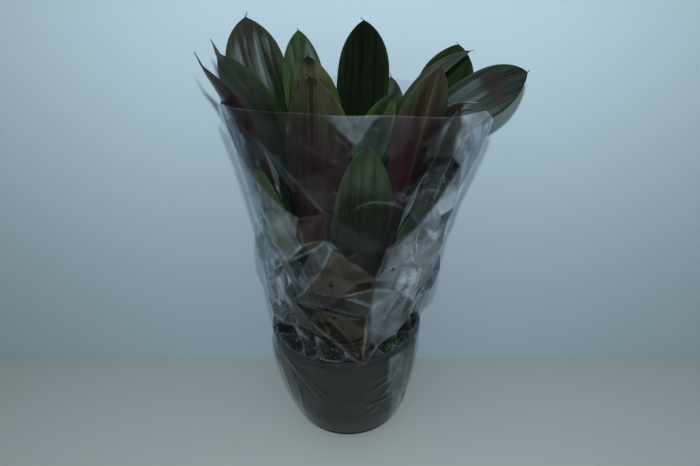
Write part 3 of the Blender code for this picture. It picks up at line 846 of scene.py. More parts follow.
def leaf_skin(name, order, side, facts):
    """The finish of one side of a leaf: lengthwise streaks, pale margins, a brown tip and so on."""
    made, shader, place = start_material(f"{name}_{side}")
    run = place.node("ShaderNodeAttribute", {}, output="Vector", attribute_name="run")
    share = place.node("ShaderNodeAttribute", {}, output="Vector", attribute_name="share")
    across, along, to_tip = run.axes()
    across_share, along_share, _ = share.axes()
    off_midrib = across_share.size()

    # Each leaf has its own streaks, and wider and narrower ones.
    shift = {0: run, 1: (order * 0.37, order * 0.61, order)}
    own = run.node("ShaderNodeVectorMath", shift, operation="ADD")
    veins = own.scaled((1.0, 0.012, 0.0)).noise(1300, detail=2)
    streaks = own.scaled((1.0, 0.016, 0.0)).noise(300, detail=3, rough=0.6)
    bands = own.scaled((1.0, 0.07, 0.0)).noise(75, detail=3)
    clouds = place.noise(28, detail=4, rough=0.6)
    streak_shift, band_shift = streaks - 0.5, bands - 0.5

    high, low = facts[side]
    base = (along_share + band_shift * 0.35).fall(*facts["turns"]).blend(high, low)
    tone = (streaks * 0.45 + bands * 0.35 + clouds * 0.30).ramp(0.42, 0.70)
    base = tone.blend(base.scaled((0.62, 0.60, 0.62)), base.scaled((1.45, 1.42, 1.38)))
    rim_colour, rim_from, rim_strength = facts["rim"]
    rim = off_midrib + streak_shift * 0.25 + band_shift * 0.25
    rim = rim.ramp(rim_from, min(1.0, rim_from + 0.3)) * rim_strength
    base = (rim * along_share.ramp(*facts["rim_rise"])).blend(base, rim_colour)

    if side == "under" or "red" in facts:
        # Reddish streaks and small dark flecks.
        red = (bands * 0.6 + clouds * 0.4).ramp(0.46, 0.62) * streaks.ramp(0.3, 0.6)
        base = (red * facts.get("red", 0.4)).blend(base, RED_STREAK)
        base = (place.noise(560, detail=1).ramp(0.68, 0.76) * 0.6).blend(base, FLECK)
    edge = (across + band_shift * 0.002).size()
    if "stripe" in facts:
        stripe = edge.fall(facts["half"] * 0.7, facts["half"] * 1.15)
        base = (stripe * 0.88).blend(base, facts["stripe"])
    if "lines" in facts:
        lines = (edge - facts["half"]).size().fall(0.0002, 0.0010) * to_tip.ramp(0.012, 0.03)
        base = (lines * 0.75).blend(base, facts["lines"])
    # Painted sheen: pale streaks painted into the colour as a highlight.
    if "sheen" in facts:
        near, far = facts["shine"]
        pale = (to_tip + band_shift * 0.08).ramp(near, near + 0.03) * to_tip.fall(far * 0.6, far)
        pale = pale * bands.ramp(0.38, 0.60) * (1 - streaks.ramp(0.48, 0.62) * 0.8)
        base = (pale * off_midrib.fall(0.65, 0.9) * facts["sheen"]).blend(base, SHEEN_HIGHLIGHT)
    if "pale" in facts:
        pale = to_tip.ramp(0.010, 0.022) * to_tip.fall(0.028, 0.060) * bands.ramp(0.35, 0.6)
        base = (pale * facts["pale"]).blend(base, YELLOWISH)
    if "patch" in facts:
        patch = (to_tip + (clouds - 0.5) * 0.06 - facts["patch"]).size().fall(0.008, 0.020)
        base = (patch * off_midrib.fall(0.55, 0.85) * 0.75).blend(base, PATCH)

    tip = facts["tip"]
    brown = (to_tip + across.size() * 1.2 + streak_shift * tip).fall(tip * 0.55, tip * 1.15)
    base = brown.blend(base, facts["dry"])
    base = (along.fall(0.01, 0.11) * 0.4).blend(base, OLD_FOOT)
    set_shader(
        shader,
        Base_Color=base,
        Roughness=LEAF_ROUGHNESS[side] + streaks.ramp(0.35, 0.65) * 0.14 + brown * 0.25,
        Normal=(veins * 0.4 + streaks).bump(0.0007, 0.6),
    )
    return made


def make_leaf(name, order, facts):
    """The leaf's grid bent to its shape, with what its skin needs, and given its thickness."""
    shape = Leaf(name, order, facts)
    bm = bmesh.new()
    bmesh.ops.create_grid(bm, x_segments=LEAF_SPANS, y_segments=LEAF_ROWS, size=1)
    run = bm.verts.layers.float_vector.new("run")
    share = bm.verts.layers.float_vector.new("share")
    for vert in bm.verts:
        across, along = vert.co.x, min(1.0, (vert.co.y + 1) / 2)
        t = 1 - (1 - along) ** 1.5
        vert.co, offset = shape.point(t, across)
        vert[run] = (offset, t * shape.length, (1 - t) * shape.length)
        vert[share] = (across, t, 0)
    skin = {**USUAL_SKIN, **SKINS.get(name, {})}
    made = add_object(name + "_blade", bm, leaf_skin(name, order, "under", skin), 180)
    made.data.materials.append(leaf_skin(name, order, "upper", skin))
    thick = made.modifiers.new("thickness", "SOLIDIFY")
    thick.thickness = LEAF_THICKNESS
    thick.offset = 0
    thick.material_offset = 1
    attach(made, "root")
    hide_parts(name)


for order, (name, facts) in enumerate(LEAVES.items()):
    make_leaf(name, order, facts)


# The sleeve: one tube of thin clear film, welded down both sides and punched with vent holes. It
# stands round the pot, sinks in over the rim, is crumpled above that, and opens out round the leaves.
FILM_SIDES = 384
FILM_ROWS = 256
FILM_GIRTH = 0.15
FILM_TOP = 0.615
RIM_TOP = 0.2025

# The film before it is folded: a height, and its reach to the left, right, front and back there.
FILM_RINGS = (
    (0.012, 0.1010, 0.1010, 0.1010, 0.1010),
    (0.050, 0.1130, 0.1130, 0.1130, 0.1130),
    (0.100, 0.1240, 0.1240, 0.1240, 0.1240),
    (0.184, 0.1372, 0.1372, 0.1372, 0.1372),
    (0.2025, 0.1368, 0.1368, 0.1368, 0.1368),
    (0.2150, 0.1260, 0.1270, 0.1200, 0.1240),
    (0.2350, 0.1310, 0.1370, 0.1060, 0.1240),
    (0.2550, 0.1370, 0.1500, 0.1020, 0.1300),
    (0.2900, 0.1420, 0.1600, 0.1100, 0.1300),
    (0.3600, 0.1500, 0.1750, 0.1270, 0.1300),
    (0.4500, 0.1520, 0.1980, 0.1300, 0.1300),
    (0.5000, 0.1600, 0.2130, 0.1290, 0.1300),
    (0.6150, 0.1845, 0.2450, 0.1290, 0.1300),
)

# The folds of the photographed side, each a line through places of the film.
OVER_RIM = (0.0355, -0.1345, 0.1925)
BAND_LEFT = (-0.080, -0.108, 0.304)
BAND_RIGHT = (0.041, -0.121, 0.275)
BROWN_FOOT = (-0.057, -0.122, 0.329)
LEFT_CROSS = (-0.083, -0.102, 0.375)
BROWN_TOP = (-0.016, -0.131, 0.426)
RIGHT_CROSS = (0.105, -0.099, 0.369)
RIGHT_PEAK = (0.127, -0.110, 0.439)
RIGHT_EDGE = (0.190, -0.062, 0.476)
RIGHT_FOOT = (0.047, -0.117, 0.234)
V_FOLDS = (
    (BAND_LEFT, (-0.052, -0.114, 0.267), (-0.023, -0.120, 0.241), (0.006, -0.127, 0.214), OVER_RIM),
    (BAND_RIGHT, (0.042, -0.125, 0.256), (0.038, -0.130, 0.229), OVER_RIM),
    ((0.120, -0.072, 0.279), (0.092, -0.088, 0.227), (0.058, -0.115, 0.218), OVER_RIM),
)
FRONT_FOLDS = (
    ((-0.004, -0.1295, 0.6145), (0.034, -0.1312, 0.576), (0.060, -0.1295, 0.6145)),
    *V_FOLDS,
    (BAND_LEFT, (-0.026, -0.1135, 0.296), (0.018, -0.1175, 0.285), BAND_RIGHT),
    (BAND_LEFT, (-0.034, -0.116, 0.289), (0.007, -0.120, 0.278), BAND_RIGHT),
    ((-0.119, -0.067, 0.306), (-0.097, -0.078, 0.289), BAND_LEFT),
    (BROWN_TOP, (-0.008, -0.138, 0.411), (-0.026, -0.130, 0.370), BROWN_FOOT),
    (BROWN_TOP, (-0.038, -0.119, 0.404), (-0.063, -0.110, 0.350), BROWN_FOOT),
    ((-0.008, -0.138, 0.411), (0.002, -0.132, 0.406), (0.014, -0.129, 0.389), (0.051, -0.129, 0.363)),
    (BROWN_FOOT, (0.002, -0.116, 0.316), (0.055, -0.103, 0.322)),
    ((0.051, -0.129, 0.363), (0.055, -0.103, 0.322), BAND_RIGHT),
    ((-0.077, -0.115, 0.467), (-0.056, -0.127, 0.460), (-0.012, -0.136, 0.469), BROWN_TOP),
    ((-0.056, -0.127, 0.460), (-0.064, -0.120, 0.428), (-0.053, -0.130, 0.416), LEFT_CROSS),
    ((-0.053, -0.130, 0.416), (-0.038, -0.119, 0.404)),
    ((-0.116, -0.092, 0.469), (-0.101, -0.105, 0.440), (-0.092, -0.096, 0.394), LEFT_CROSS),
    ((-0.144, -0.044, 0.388), (-0.119, -0.072, 0.373), (-0.102, -0.100, 0.380), LEFT_CROSS),
    ((-0.122, -0.072, 0.413), (-0.119, -0.072, 0.373)),
    (LEFT_CROSS, (-0.070, -0.112, 0.344), BROWN_FOOT),
    ((-0.102, -0.100, 0.380), (-0.102, -0.091, 0.328), (-0.119, -0.067, 0.306)),
    (RIGHT_FOOT, (0.053, -0.123, 0.300), (0.059, -0.128, 0.354), (0.078, -0.125, 0.407)),
    (RIGHT_FOOT, (0.058, -0.115, 0.218)),
    ((0.078, -0.125, 0.407), (0.093, -0.117, 0.408), RIGHT_PEAK, (0.172, -0.077, 0.446)),
    ((0.172, -0.077, 0.446), (0.186, -0.051, 0.444), RIGHT_EDGE),
    ((0.093, -0.117, 0.408), RIGHT_CROSS, (0.157, -0.070, 0.393), (0.160, -0.073, 0.437)),
    (RIGHT_CROSS, (0.074, -0.120, 0.367), (0.059, -0.128, 0.354)),
    (RIGHT_PEAK, (0.151, -0.067, 0.403), (0.157, -0.070, 0.393)),
    (RIGHT_FOOT, (0.099, -0.084, 0.307), (0.109, -0.084, 0.295), (0.092, -0.088, 0.227)),
    ((0.109, -0.084, 0.295), (0.139, -0.060, 0.302)),
    (RIGHT_EDGE, (0.153, -0.082, 0.460), RIGHT_PEAK),
    (RIGHT_EDGE, (0.190, -0.078, 0.523), (0.179, -0.081, 0.537), (0.181, -0.088, 0.577)),
    ((0.179, -0.081, 0.537), (0.208, -0.050, 0.540), (0.195, -0.085, 0.585)),
)

# Long soft folds of the flat front: places along each, its half width and how far it stands out.
SOFT_FOLDS = (
    (
        ((-0.134, 0.601), (-0.102, 0.571), (-0.070, 0.536), (-0.042, 0.507), (-0.012, 0.469)),
        0.016, 0.0035,
    ),
    (((-0.069, 0.594), (0.017, 0.540)), 0.022, 0.0030),
    (((0.024, 0.471), (0.037, 0.481), (0.056, 0.486), (0.081, 0.481), (0.111, 0.464)), 0.0045, 0.0020),
    (((0.098, 0.478), (0.114, 0.488), (0.141, 0.493), (0.167, 0.479)), 0.009, 0.0045),
    (((-0.010, 0.600), (0.030, 0.560)), 0.018, 0.0030),
    (((0.060, 0.600), (0.030, 0.560)), 0.018, 0.0030),
    (((-0.104, 0.185), (-0.062, 0.135), (-0.030, 0.098)), 0.007, 0.0030),
    (((-0.095, 0.170), (-0.058, 0.120)), 0.006, -0.0020),
    (((-0.078, 0.168), (-0.022, 0.108)), 0.008, 0.0022),
    (((0.092, 0.150), (0.038, 0.122)), 0.005, 0.0024),
    (((0.086, 0.130), (0.056, 0.100)), 0.005, 0.0020),
    (((0.098, 0.160), (0.045, 0.150)), 0.006, 0.0022),
    (((0.088, 0.098), (0.032, 0.088)), 0.006, 0.0026),
    (((0.040, 0.165), (0.030, 0.090)), 0.010, 0.0016),
    (((0.062, 0.085), (0.034, 0.062)), 0.006, 0.0020),
    (((-0.020, 0.175), (-0.012, 0.150), (-0.018, 0.130)), 0.004, 0.0016),
    (((0.010, 0.120), (0.022, 0.112), (0.012, 0.100), (0.020, 0.088), (0.004, 0.080)), 0.0035, 0.0016),
    (((0.112, 0.180), (0.098, 0.100), (0.094, 0.060)), 0.010, 0.0030),
    (((-0.122, 0.180), (-0.110, 0.110), (-0.100, 0.050)), 0.008, 0.0026),
)

# Where the photographed side is folded over on itself or crumpled it looks milky: how milky each
# panel is; a value below 0 tints the panel brown instead, as a painted reflection of the floor; and
# its outline. The first outline that holds a facet counts.
MILKY_AND_BROWN_REFLECTION_PANELS = (
    (0.075, ((-0.004, 0.615), (0.034, 0.576), (0.060, 0.615), (0.060, 0.620), (-0.004, 0.620))),
    (-0.030, ((-0.008, 0.411), (0.014, 0.389), (0.051, 0.363), (0.055, 0.322), (0.002, 0.316),
              (-0.057, 0.329), (-0.026, 0.370))),
    (-0.026, ((-0.056, 0.460), (-0.012, 0.469), (-0.016, 0.426), (-0.038, 0.404), (-0.053, 0.416),
              (-0.064, 0.428))),
    (-0.007, ((-0.080, 0.304), (0.041, 0.275), (0.040, 0.205), (0.020, 0.200), (-0.052, 0.262))),
    (0.16, ((-0.134, 0.505), (-0.108, 0.515), (-0.080, 0.466), (-0.103, 0.456), (-0.130, 0.462))),
    (0.09, ((0.078, 0.030), (0.076, 0.190), (0.112, 0.190), (0.108, 0.030))),
    (0.15, ((-0.170, 0.400), (-0.112, 0.400), (-0.118, 0.520), (-0.185, 0.520))),
    (0.012, ((0.030, 0.575), (0.062, 0.620), (0.190, 0.620), (0.190, 0.580), (0.100, 0.575))),
    (0.10, ((0.047, 0.234), (0.053, 0.300), (0.059, 0.354), (0.078, 0.407), (0.105, 0.369),
            (0.109, 0.295), (0.092, 0.227), (0.060, 0.216))),
    (0.145, ((0.078, 0.407), (0.127, 0.439), (0.172, 0.446), (0.160, 0.380), (0.105, 0.360))),
    (0.15, ((0.105, 0.369), (0.150, 0.400), (0.170, 0.380), (0.139, 0.302), (0.109, 0.295))),
    (0.20, ((0.140, 0.440), (0.260, 0.440), (0.260, 0.620), (0.191, 0.620), (0.183, 0.570),
            (0.158, 0.520))),
    (0.07, ((-0.160, 0.360), (-0.083, 0.375), (-0.092, 0.394), (-0.101, 0.440), (-0.116, 0.469),
            (-0.160, 0.480))),
    (0.085, ((-0.116, 0.469), (-0.101, 0.440), (-0.092, 0.394), (-0.083, 0.375), (-0.053, 0.416),
             (-0.056, 0.460), (-0.077, 0.467))),
    (0.05, ((-0.160, 0.280), (-0.160, 0.360), (-0.083, 0.375), (-0.070, 0.344), (-0.102, 0.300))),
    (0.06, ((-0.057, 0.329), (-0.063, 0.350), (-0.038, 0.404), (-0.016, 0.426), (-0.008, 0.411),
            (-0.026, 0.370))),
    (0.02, ((-0.080, 0.304), (-0.026, 0.298), (0.018, 0.290), (0.041, 0.275), (0.007, 0.278),
            (-0.034, 0.287))),
    (0.03, ((-0.200, 0.460), (-0.120, 0.480), (-0.150, 0.620), (-0.200, 0.620))),
)
VENT_HOLES = ((-0.013, 0.342), (0.086, 0.362))
VENT_RADIUS = 0.0036

# How the mouth's edge droops, and where the film sinks to inside the rim.
RIGHT_DROOP = 0.013
RIGHT_CORNER_DROOP = 0.024
LEFT_CORNER_DROOP = 0.0145
LEFT_RISE = 0.0065
HOLLOW_REACH = 0.104
HOLLOW_REACH_BEHIND = 0.014
HOLLOW_HEIGHT = 0.2105
HOLLOW_SINK = 0.004

# The crumples and creases of the rest, the welds, and how far off the film keeps from the board
# behind it and the leaves in it.
LOOSE_FROM = 0.236
STREWN_CREASES = 70
WELD_HALF_WIDTH = 0.0035
WELD_HEIGHT = 0.0012
FURTHEST_BACK = 0.1325
LEAVES_FROM = 0.25
LEAF_REACH = 0.06
FILM_CLEARANCE = 0.0018

# How milky the film is all over, at its edge and along its folds, and its colours.
MILK_EVERYWHERE = 0.002
MILK_AT_MOUTH = 0.04
FOLD_LINE_MILK = 0.12
FOLD_LINE_FROM = 0.13
FOLD_LINE_SPAN = 0.45
PALE_LINE_HALF_WIDTH = 0.0030
PALE_LINE_V = 1.5
PALE_LINE = 0.45
FILM_COLOUR = (0.78, 0.91, 1.0)
FILM_BROWN_REFLECTION = (0.76, 0.68, 0.60)
FILM_TINT = (0.97, 0.98, 0.985)
SHADOW_LOSS = 0.6


def film_ring(height):
    """(left, right, front, back) reach of the film at a height."""
    for low, high in zip(FILM_RINGS, FILM_RINGS[1:]):
        if height <= high[0]:
            share = max(0.0, (height - low[0]) / (high[0] - low[0]))
            return [a + (b - a) * share for a, b in zip(low[1:], high[1:])]
    return FILM_RINGS[-1][1:]


def film_base(turn, height):
    """A point of the film before it is folded; the turn is 0 in front."""
    left, right, front, back = film_ring(height)
    seam = smooth(height, 0.35, 0.60)
    across, along = math.sin(turn), -math.cos(turn)
    corner = 1 - (0.40 if along > 0 else 0.20) * seam
    x = across * (right if across > 0 else left)
    y = math.copysign(abs(along) ** corner, along) * (back if along > 0 else front)
    droop = RIGHT_DROOP * smooth(across, 0.2, 0.8) + RIGHT_CORNER_DROOP * smooth(across, 0.9, 1.0)
    droop += LEFT_CORNER_DROOP * smooth(-across, 0.92, 1.0) - LEFT_RISE * smooth(-across, -0.2, 0.35)
    return x, y, height - droop * smooth(height, 0.45, FILM_TOP)


def film_turn(x, y, z):
    """The turn and height of the film's base that a place lies straight outside or inside of."""
    heading, height = math.atan2(x, -y), z
    for _ in range(3):
        low, high = heading - 0.8, heading + 0.8
        for _ in range(24):
            turn = (low + high) / 2
            spot = film_base(turn, height)
            off = (math.atan2(spot[0], -spot[1]) - heading + math.pi) % (2 * math.pi) - math.pi
            low, high = (turn, high) if off < 0 else (low, turn)
        height += z - film_base(turn, height)[2]
    return turn, height


def between(values, ends):
    """The indices of the values that lie between the least and the greatest of the ends."""
    return np.nonzero((values >= min(ends) - 1e-9) & (values <= max(ends) + 1e-9))[0]


class Knots:
    """The places where folds of the film meet, in its flat cut, and how far each has moved."""

    def __init__(self):
        self.flat, self.moved, self.base, self.stiff, self.folds = [], [], [], [], []
        self.rng = random.Random(77)

    def add(self, turn, height, moved=(0, 0, 0), stiff=0):
        """A knot at a turn and a height. Its facets are flat if stiff is 1, and round if 0."""
        self.flat.append((turn * FILM_GIRTH, height))
        self.base.append(film_base(turn, height))
        self.moved.append(tuple(moved))
        self.stiff.append(stiff)
        return len(self.flat) - 1

    def add_rings(self, half_count, *film_heights):
        """Unmoved knots at even turns all the way round, at each of the heights."""
        for i in range(-half_count, half_count + 1):
            for height in film_heights:
                self.add(i * math.pi / half_count, height)

    def near(self, turn, height, gap):
        """Whether a knot or a fold already lies this close."""
        spot = Vector((turn * FILM_GIRTH, height))
        if any((Vector(other) - spot).length < gap for other in self.flat):
            return True
        for a, b in self.folds:
            first, last = Vector(self.flat[a]), Vector(self.flat[b])
            along = last - first
            run = min(1.0, max(0.0, (spot - first).dot(along) / along.length_squared))
            if (first + along * run - spot).length < gap * 0.8:
                return True
        return False

    def spread(self, turns, heights):
        """The knots' facts shared out over the facets between them, for each point of the grid:
        three of its move, three of its base, then how stiff and how milky it is."""
        flat = [Vector(spot) for spot in self.flat]
        spots, _, facets, origins, _, _ = delaunay_2d_cdt(flat, self.folds, [], 0, 1e-7)
        known = np.hstack([self.moved, self.base, np.array(self.stiff)[:, None]])
        plain = np.array(self.flat)
        rows = []
        for spot, origin in zip(spots, origins):
            # A knot that was added where two folds cross takes the facts of the nearest one.
            apart = ((plain - np.array(spot)) ** 2).sum(1)
            rows.append(known[origin[0] if origin else int(np.argmin(apart))])
        facts = np.array(rows)
        spots = np.array([tuple(spot) for spot in spots])
        across = turns * FILM_GIRTH
        found = np.zeros((len(heights), len(turns), 8))
        for facet in facets:
            (ax, ay), (bx, by), (cx, cy) = spots[list(facet)]
            area = (bx - ax) * (cy - ay) - (cx - ax) * (by - ay)
            if abs(area) < 1e-10:
                continue
            columns, lines = between(across, (ax, bx, cx)), between(heights, (ay, by, cy))
            if not len(columns) or not len(lines):
                continue
            px, py = np.meshgrid(across[columns], heights[lines])
            b_share = ((px - ax) * (cy - ay) - (cx - ax) * (py - ay)) / area
            c_share = ((bx - ax) * (py - ay) - (px - ax) * (by - ay)) / area
            a_share = 1 - b_share - c_share
            inside = (a_share >= -1e-6) & (b_share >= -1e-6) & (c_share >= -1e-6)
            values = np.empty((*px.shape, 8))
            values[..., :7] = np.stack([a_share, b_share, c_share], -1) @ facts[list(facet)]
            values[..., 7] = facet_milk((ax + bx + cx) / 3, (ay + by + cy) / 3, self.rng)
            block = found[np.ix_(lines, columns)]
            block[inside] = values[inside]
            found[np.ix_(lines, columns)] = block
        return found


def inside_of(outline, x, z):
    """Whether a place lies within a closed outline of (x, z) corners."""
    odd = False
    for (ax, az), (bx, bz) in zip(outline, outline[1:] + outline[:1]):
        if (az > z) != (bz > z) and x < ax + (bx - ax) * (z - az) / (bz - az):
            odd = not odd
    return odd


def facet_milk(across, height, rng):
    """How milky a facet is, by its middle, and below 0 how brown its painted reflection of the floor is:
    as the panels say in front, and at random elsewhere.
    """
    x, y, z = film_base(across / FILM_GIRTH, height)
    own = rng.random()
    if y < 0.02:
        for panel_milk_and_brown, outline in MILKY_AND_BROWN_REFLECTION_PANELS:
            if inside_of(outline, x, z):
                return panel_milk_and_brown * (0.75 + 0.5 * own)
    rough = smooth(height, 0.215, 0.24) * (1 - smooth(height, 0.30, 0.50))
    return 0.010 * own * own * own + 0.07 * rough * own * own * smooth(abs(x), 0.05, 0.12)


def fold_lines(knots):
    """The folds of the photographed side, knot by knot."""
    known = {}
    for fold in FRONT_FOLDS:
        line = []
        for place in fold:
            if place not in known:
                turn, height = film_turn(*place)
                moved = Vector(place) - Vector(film_base(turn, height))
                known[place] = knots.add(turn, height, moved, 1.0)
            line.append(known[place])
        knots.folds.extend(zip(line, line[1:]))


def rim_knots(knots, rng):
    """The film lies on the rim, and just inside it sinks to an uneven hollow round the leaves."""
    knots.add_rings(36, 0.190, RIM_TOP)
    over_turn = math.atan2(OVER_RIM[0], -OVER_RIM[1])
    for i in range(-15, 16):
        turn = i * math.pi / 15 + rng.uniform(-0.06, 0.06)
        if abs(turn - over_turn) < 0.20:
            continue
        in_front = smooth(math.cos(turn), -0.4, 0.4)
        reach = HOLLOW_REACH + HOLLOW_REACH_BEHIND * (1 - in_front) + rng.uniform(-0.005, 0.005)
        height = HOLLOW_HEIGHT + rng.uniform(-0.0015, 0.0015)
        spot = film_base(turn, height)
        pull = reach / math.hypot(spot[0], spot[1]) - 1
        sink = -HOLLOW_SINK - rng.uniform(0.0, 0.007) * in_front
        knots.add(turn, height, (spot[0] * pull, spot[1] * pull, sink), 1)


def loose_knots(knots, rng):
    """Knots strewn over the rest: close together and rough low down, few and shallow high up."""
    height = LOOSE_FROM
    while height < FILM_TOP - 0.02:
        rough = 1 - smooth(height, 0.26, 0.50)
        gap = 0.030 + 0.028 * (1 - rough)
        around = round(2 * math.pi * FILM_GIRTH / gap)
        for i in range(around + 1):
            turn = -math.pi + 2 * math.pi * i / around
            high, depth = height, 0
            if 0 < i < around:
                turn += rng.uniform(-0.35, 0.35) * gap / FILM_GIRTH
                high += rng.uniform(-0.3, 0.3) * gap
                depth = rng.gauss(0, 0.0008 + 0.0042 * rough)
            if knots.near(turn, high, 0.55 * gap):
                continue
            spot = film_base(turn, high)
            share = depth / math.hypot(spot[0], spot[1])
            knots.add(turn, high, (spot[0] * share, spot[1] * share, 0), 0.25 + 0.75 * rough)
        height += gap * 0.85
    knots.add_rings(30, FILM_TOP, FILM_RINGS[0][0], 0.100)


def crease(flat, line, half, height):
    """How far a crease along a line lifts each point of the flat cut; its ends die away."""
    lift = np.zeros(flat.shape[:2])
    lengths = [math.dist(a, b) for a, b in zip(line, line[1:])]
    passed, whole = 0.0, sum(lengths)
    for a, b, length in zip(line, line[1:], lengths):
        along = (np.array(b) - np.array(a)) / length
        offset = flat - np.array(a)
        run = np.clip(offset @ along, 0, length)
        off = np.linalg.norm(offset - run[..., None] * along, axis=-1)
        share = (passed + run) / whole
        fade = np.sqrt(np.clip(1 - (2 * share - 1) ** 2, 0, 1))
        lift = np.maximum(lift, fade * np.clip(1 - off / half, 0, 1))
        passed += length
    return lift * height


def strew_creases(lift, cut, rng):
    """Adds short creases all over the film, some of them inwards."""
    for _ in range(STREWN_CREASES):
        across = rng.uniform(-0.93, 0.93) * math.pi * FILM_GIRTH
        zones = ((0.03, 0.18), (0.23, 0.45), (0.25, 0.60))
        height = rng.choice([rng.uniform(*zone) for zone in zones])
        steep = rng.gauss(math.pi / 2, 0.6)
        reach = rng.uniform(0.012, 0.045) * (0.6 if height < 0.2 else 1)
        ends = [
            (across + s * math.cos(steep) * reach, height + s * math.sin(steep) * reach)
            for s in (-1, 1)
        ]
        half = rng.uniform(0.004, 0.010)
        way = rng.choice((-1, 1, 1))
        lift += crease(cut, ends, half, way * half * rng.uniform(0.10, 0.26))


def beside(grid):
    """The sum of the four neighbours of each inner point of a grid."""
    return grid[:-2, 1:-1] + grid[2:, 1:-1] + grid[1:-1, :-2] + grid[1:-1, 2:]


def leaf_push(film_shape, heights, leaf_tree):
    """How far each point of the film has to move out to clear the leaves."""
    push = np.zeros(film_shape.shape[:2])
    for row, column in np.ndindex(push.shape):
        if heights[row] < LEAVES_FROM:
            continue
        spot = Vector(film_shape[row, column])
        way = Vector((spot.x, spot.y, 0)).normalized()
        hit = leaf_tree.ray_cast(spot + way * LEAF_REACH, -way, LEAF_REACH + FILM_CLEARANCE)
        if hit[0] is not None:
            push[row, column] = FILM_CLEARANCE + (hit[0] - spot).dot(way)
    return push


def widened(push):
    """The push with the film round each pressed place eased out along with it."""
    wide = push.copy()
    for axis in (0, 1):
        for step in range(1, 4):
            for way in (-1, 1):
                wide = np.maximum(wide, np.roll(push, way * step, axis) * (1 - step / 5))
    return wide


film_rng = random.Random(41)
knots = Knots()
fold_lines(knots)
rim_knots(knots, film_rng)
loose_knots(knots, film_rng)
turns = np.linspace(-math.pi, math.pi, FILM_SIDES + 1)
heights = np.linspace(FILM_RINGS[0][0], FILM_TOP, FILM_ROWS + 1)
base = np.array([[film_base(turn, height) for turn in turns] for height in heights])
spread = knots.spread(turns, heights)
film_shape = base + spread[..., :3] + (spread[..., 3:6] - base) * spread[..., 6:7]
outward = base * (1, 1, 0)
outward /= np.linalg.norm(outward, axis=-1, keepdims=True)

# Creases: the soft ones seen in front, short ones strewn all over, and the welds at both sides.
lift = np.zeros(base.shape[:2])
for line, half, height in SOFT_FOLDS:
    lift += np.where(base[..., 1] < 0, crease(base[..., [0, 2]], line, half, height), 0)
cut = np.stack(np.meshgrid(turns * FILM_GIRTH, heights), -1)
strew_creases(lift, cut, film_rng)
for side in (-0.5, 0.5):
    weld = ((side * math.pi * FILM_GIRTH, 0.0), (side * math.pi * FILM_GIRTH, 0.70))
    lift += crease(cut, weld, WELD_HALF_WIDTH, WELD_HEIGHT)
calm = np.array([smooth(abs(height - RIM_TOP), 0.0, 0.02) for height in heights])
film_shape += outward * (lift * calm[:, None])[..., None]
for _ in range(2):
    film_shape[1:-1, 1:-1] = film_shape[1:-1, 1:-1] * 0.5 + beside(film_shape) * 0.125
film_shape[..., 1] = np.minimum(film_shape[..., 1], FURTHEST_BACK)

# Where a leaf stands further out than the film, it presses the film outwards.
packed = bmesh.new()
for name in LEAVES:
    packed.from_mesh(bpy.data.objects[name + "_blade"].data)
leaf_tree = BVHTree.FromBMesh(packed)
packed.free()
for _ in range(3):
    push = widened(leaf_push(film_shape, heights, leaf_tree))
    film_shape += outward * push[..., None]
film_shape[:, -1] = film_shape[:, 0]

# The film is a little milky all over, more so in its panels, and shows a pale line at each sharp fold.
facing = np.cross(np.gradient(film_shape, axis=1), np.gradient(film_shape, axis=0))
facing /= np.linalg.norm(facing, axis=-1, keepdims=True) + 1e-12
turning = np.linalg.norm(np.gradient(facing, axis=0), axis=-1)
turning += np.linalg.norm(np.gradient(facing, axis=1), axis=-1)
folded = np.clip((turning - FOLD_LINE_FROM) / FOLD_LINE_SPAN, 0, 1)
folded *= np.array([smooth(height, 0.214, 0.236) for height in heights])[:, None]
for fold in FRONT_FOLDS:
    line = [(turn * FILM_GIRTH, height) for turn, height in (film_turn(*place) for place in fold)]
    strength = PALE_LINE_V if fold in V_FOLDS else PALE_LINE
    folded = np.maximum(folded, crease(cut, line, PALE_LINE_HALF_WIDTH, strength))
milk = spread[..., 7]
for _ in range(2):
    milk[1:-1, 1:-1] = (beside(milk) + milk[1:-1, 1:-1]) / 5
milk = milk + np.where(milk < -0.004, -1, 1) * (MILK_EVERYWHERE + folded * FOLD_LINE_MILK)
milk[-1] += MILK_AT_MOUTH

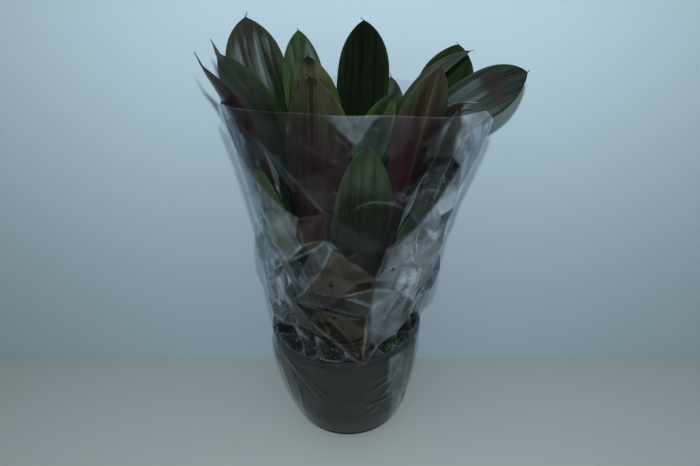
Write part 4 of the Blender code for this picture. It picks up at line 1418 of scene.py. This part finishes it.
bm = bmesh.new()
bmesh.ops.create_grid(bm, x_segments=FILM_SIDES, y_segments=FILM_ROWS, size=1)
milk_layer = bm.verts.layers.float.new("milk")
for vert in bm.verts:
    column = round((vert.co.x + 1) / 2 * FILM_SIDES)
    row = round((vert.co.y + 1) / 2 * FILM_ROWS)
    vert.co = film_shape[row, column]
    vert[milk_layer] = milk[row, column]
bmesh.ops.remove_doubles(bm, verts=bm.verts, dist=1e-6)
bm.normal_update()
for hole in VENT_HOLES:
    in_front = (v for v in bm.verts if v.co.y < 0)
    middle = min(in_front, key=lambda v: math.dist(v.co.xz, hole))
    centre = middle.co.copy()
    edge = {v for face in middle.link_faces for v in face.verts if v is not middle}
    for vert in edge:
        vert.co = centre + (vert.co - centre).normalized() * VENT_RADIUS
    bmesh.ops.delete(bm, geom=[middle], context="VERTS")

film_finish, shader, place = start_material("clear_film")
ripple = place.noise(30, detail=3, rough=0.5)
wrinkle = place.scaled((1, 1, 0.4)).noise(150, detail=2, rough=0.6)
milk_share = place.node("ShaderNodeAttribute", {}, output="Fac", attribute_name="milk")
uneven = place.noise(22, detail=2).ramp(0.35, 0.65)
haze = milk_share.size() * (0.45 + uneven * 0.85 + wrinkle.ramp(0.35, 0.7) * 0.3)
fresnel = place.node("ShaderNodeFresnel", {"IOR": 1.5})
both_faces = fresnel * 2 / (1 + fresnel)
# Facets of the panels below 0 are tinted brown: a painted reflection of the floor.
set_shader(
    shader,
    Base_Color=(0 - milk_share).ramp(0.0, 0.02).blend(FILM_COLOUR, FILM_BROWN_REFLECTION),
    Metallic=both_faces / (both_faces + haze),
    Roughness=0.07,
    Normal=(ripple + wrinkle * 0.1).bump(0.0012, 0.25),
)
# The film throws a thinner shadow than it would by its gloss, because it passes that light on.
clear = place.node("ShaderNodeBsdfTransparent", {"Color": FILM_TINT})
in_shadow = place.node("ShaderNodeLightPath", {}, output="Is Shadow Ray")
strength = (both_faces + haze).clamped() * (1 - in_shadow * SHADOW_LOSS)
show_mixed(film_finish, strength, clear, Shade(place.tree, shader.outputs[0]))
film = add_object("film_sleeve", bm, film_finish, 180)
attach(film, "root")
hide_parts("sleeve")
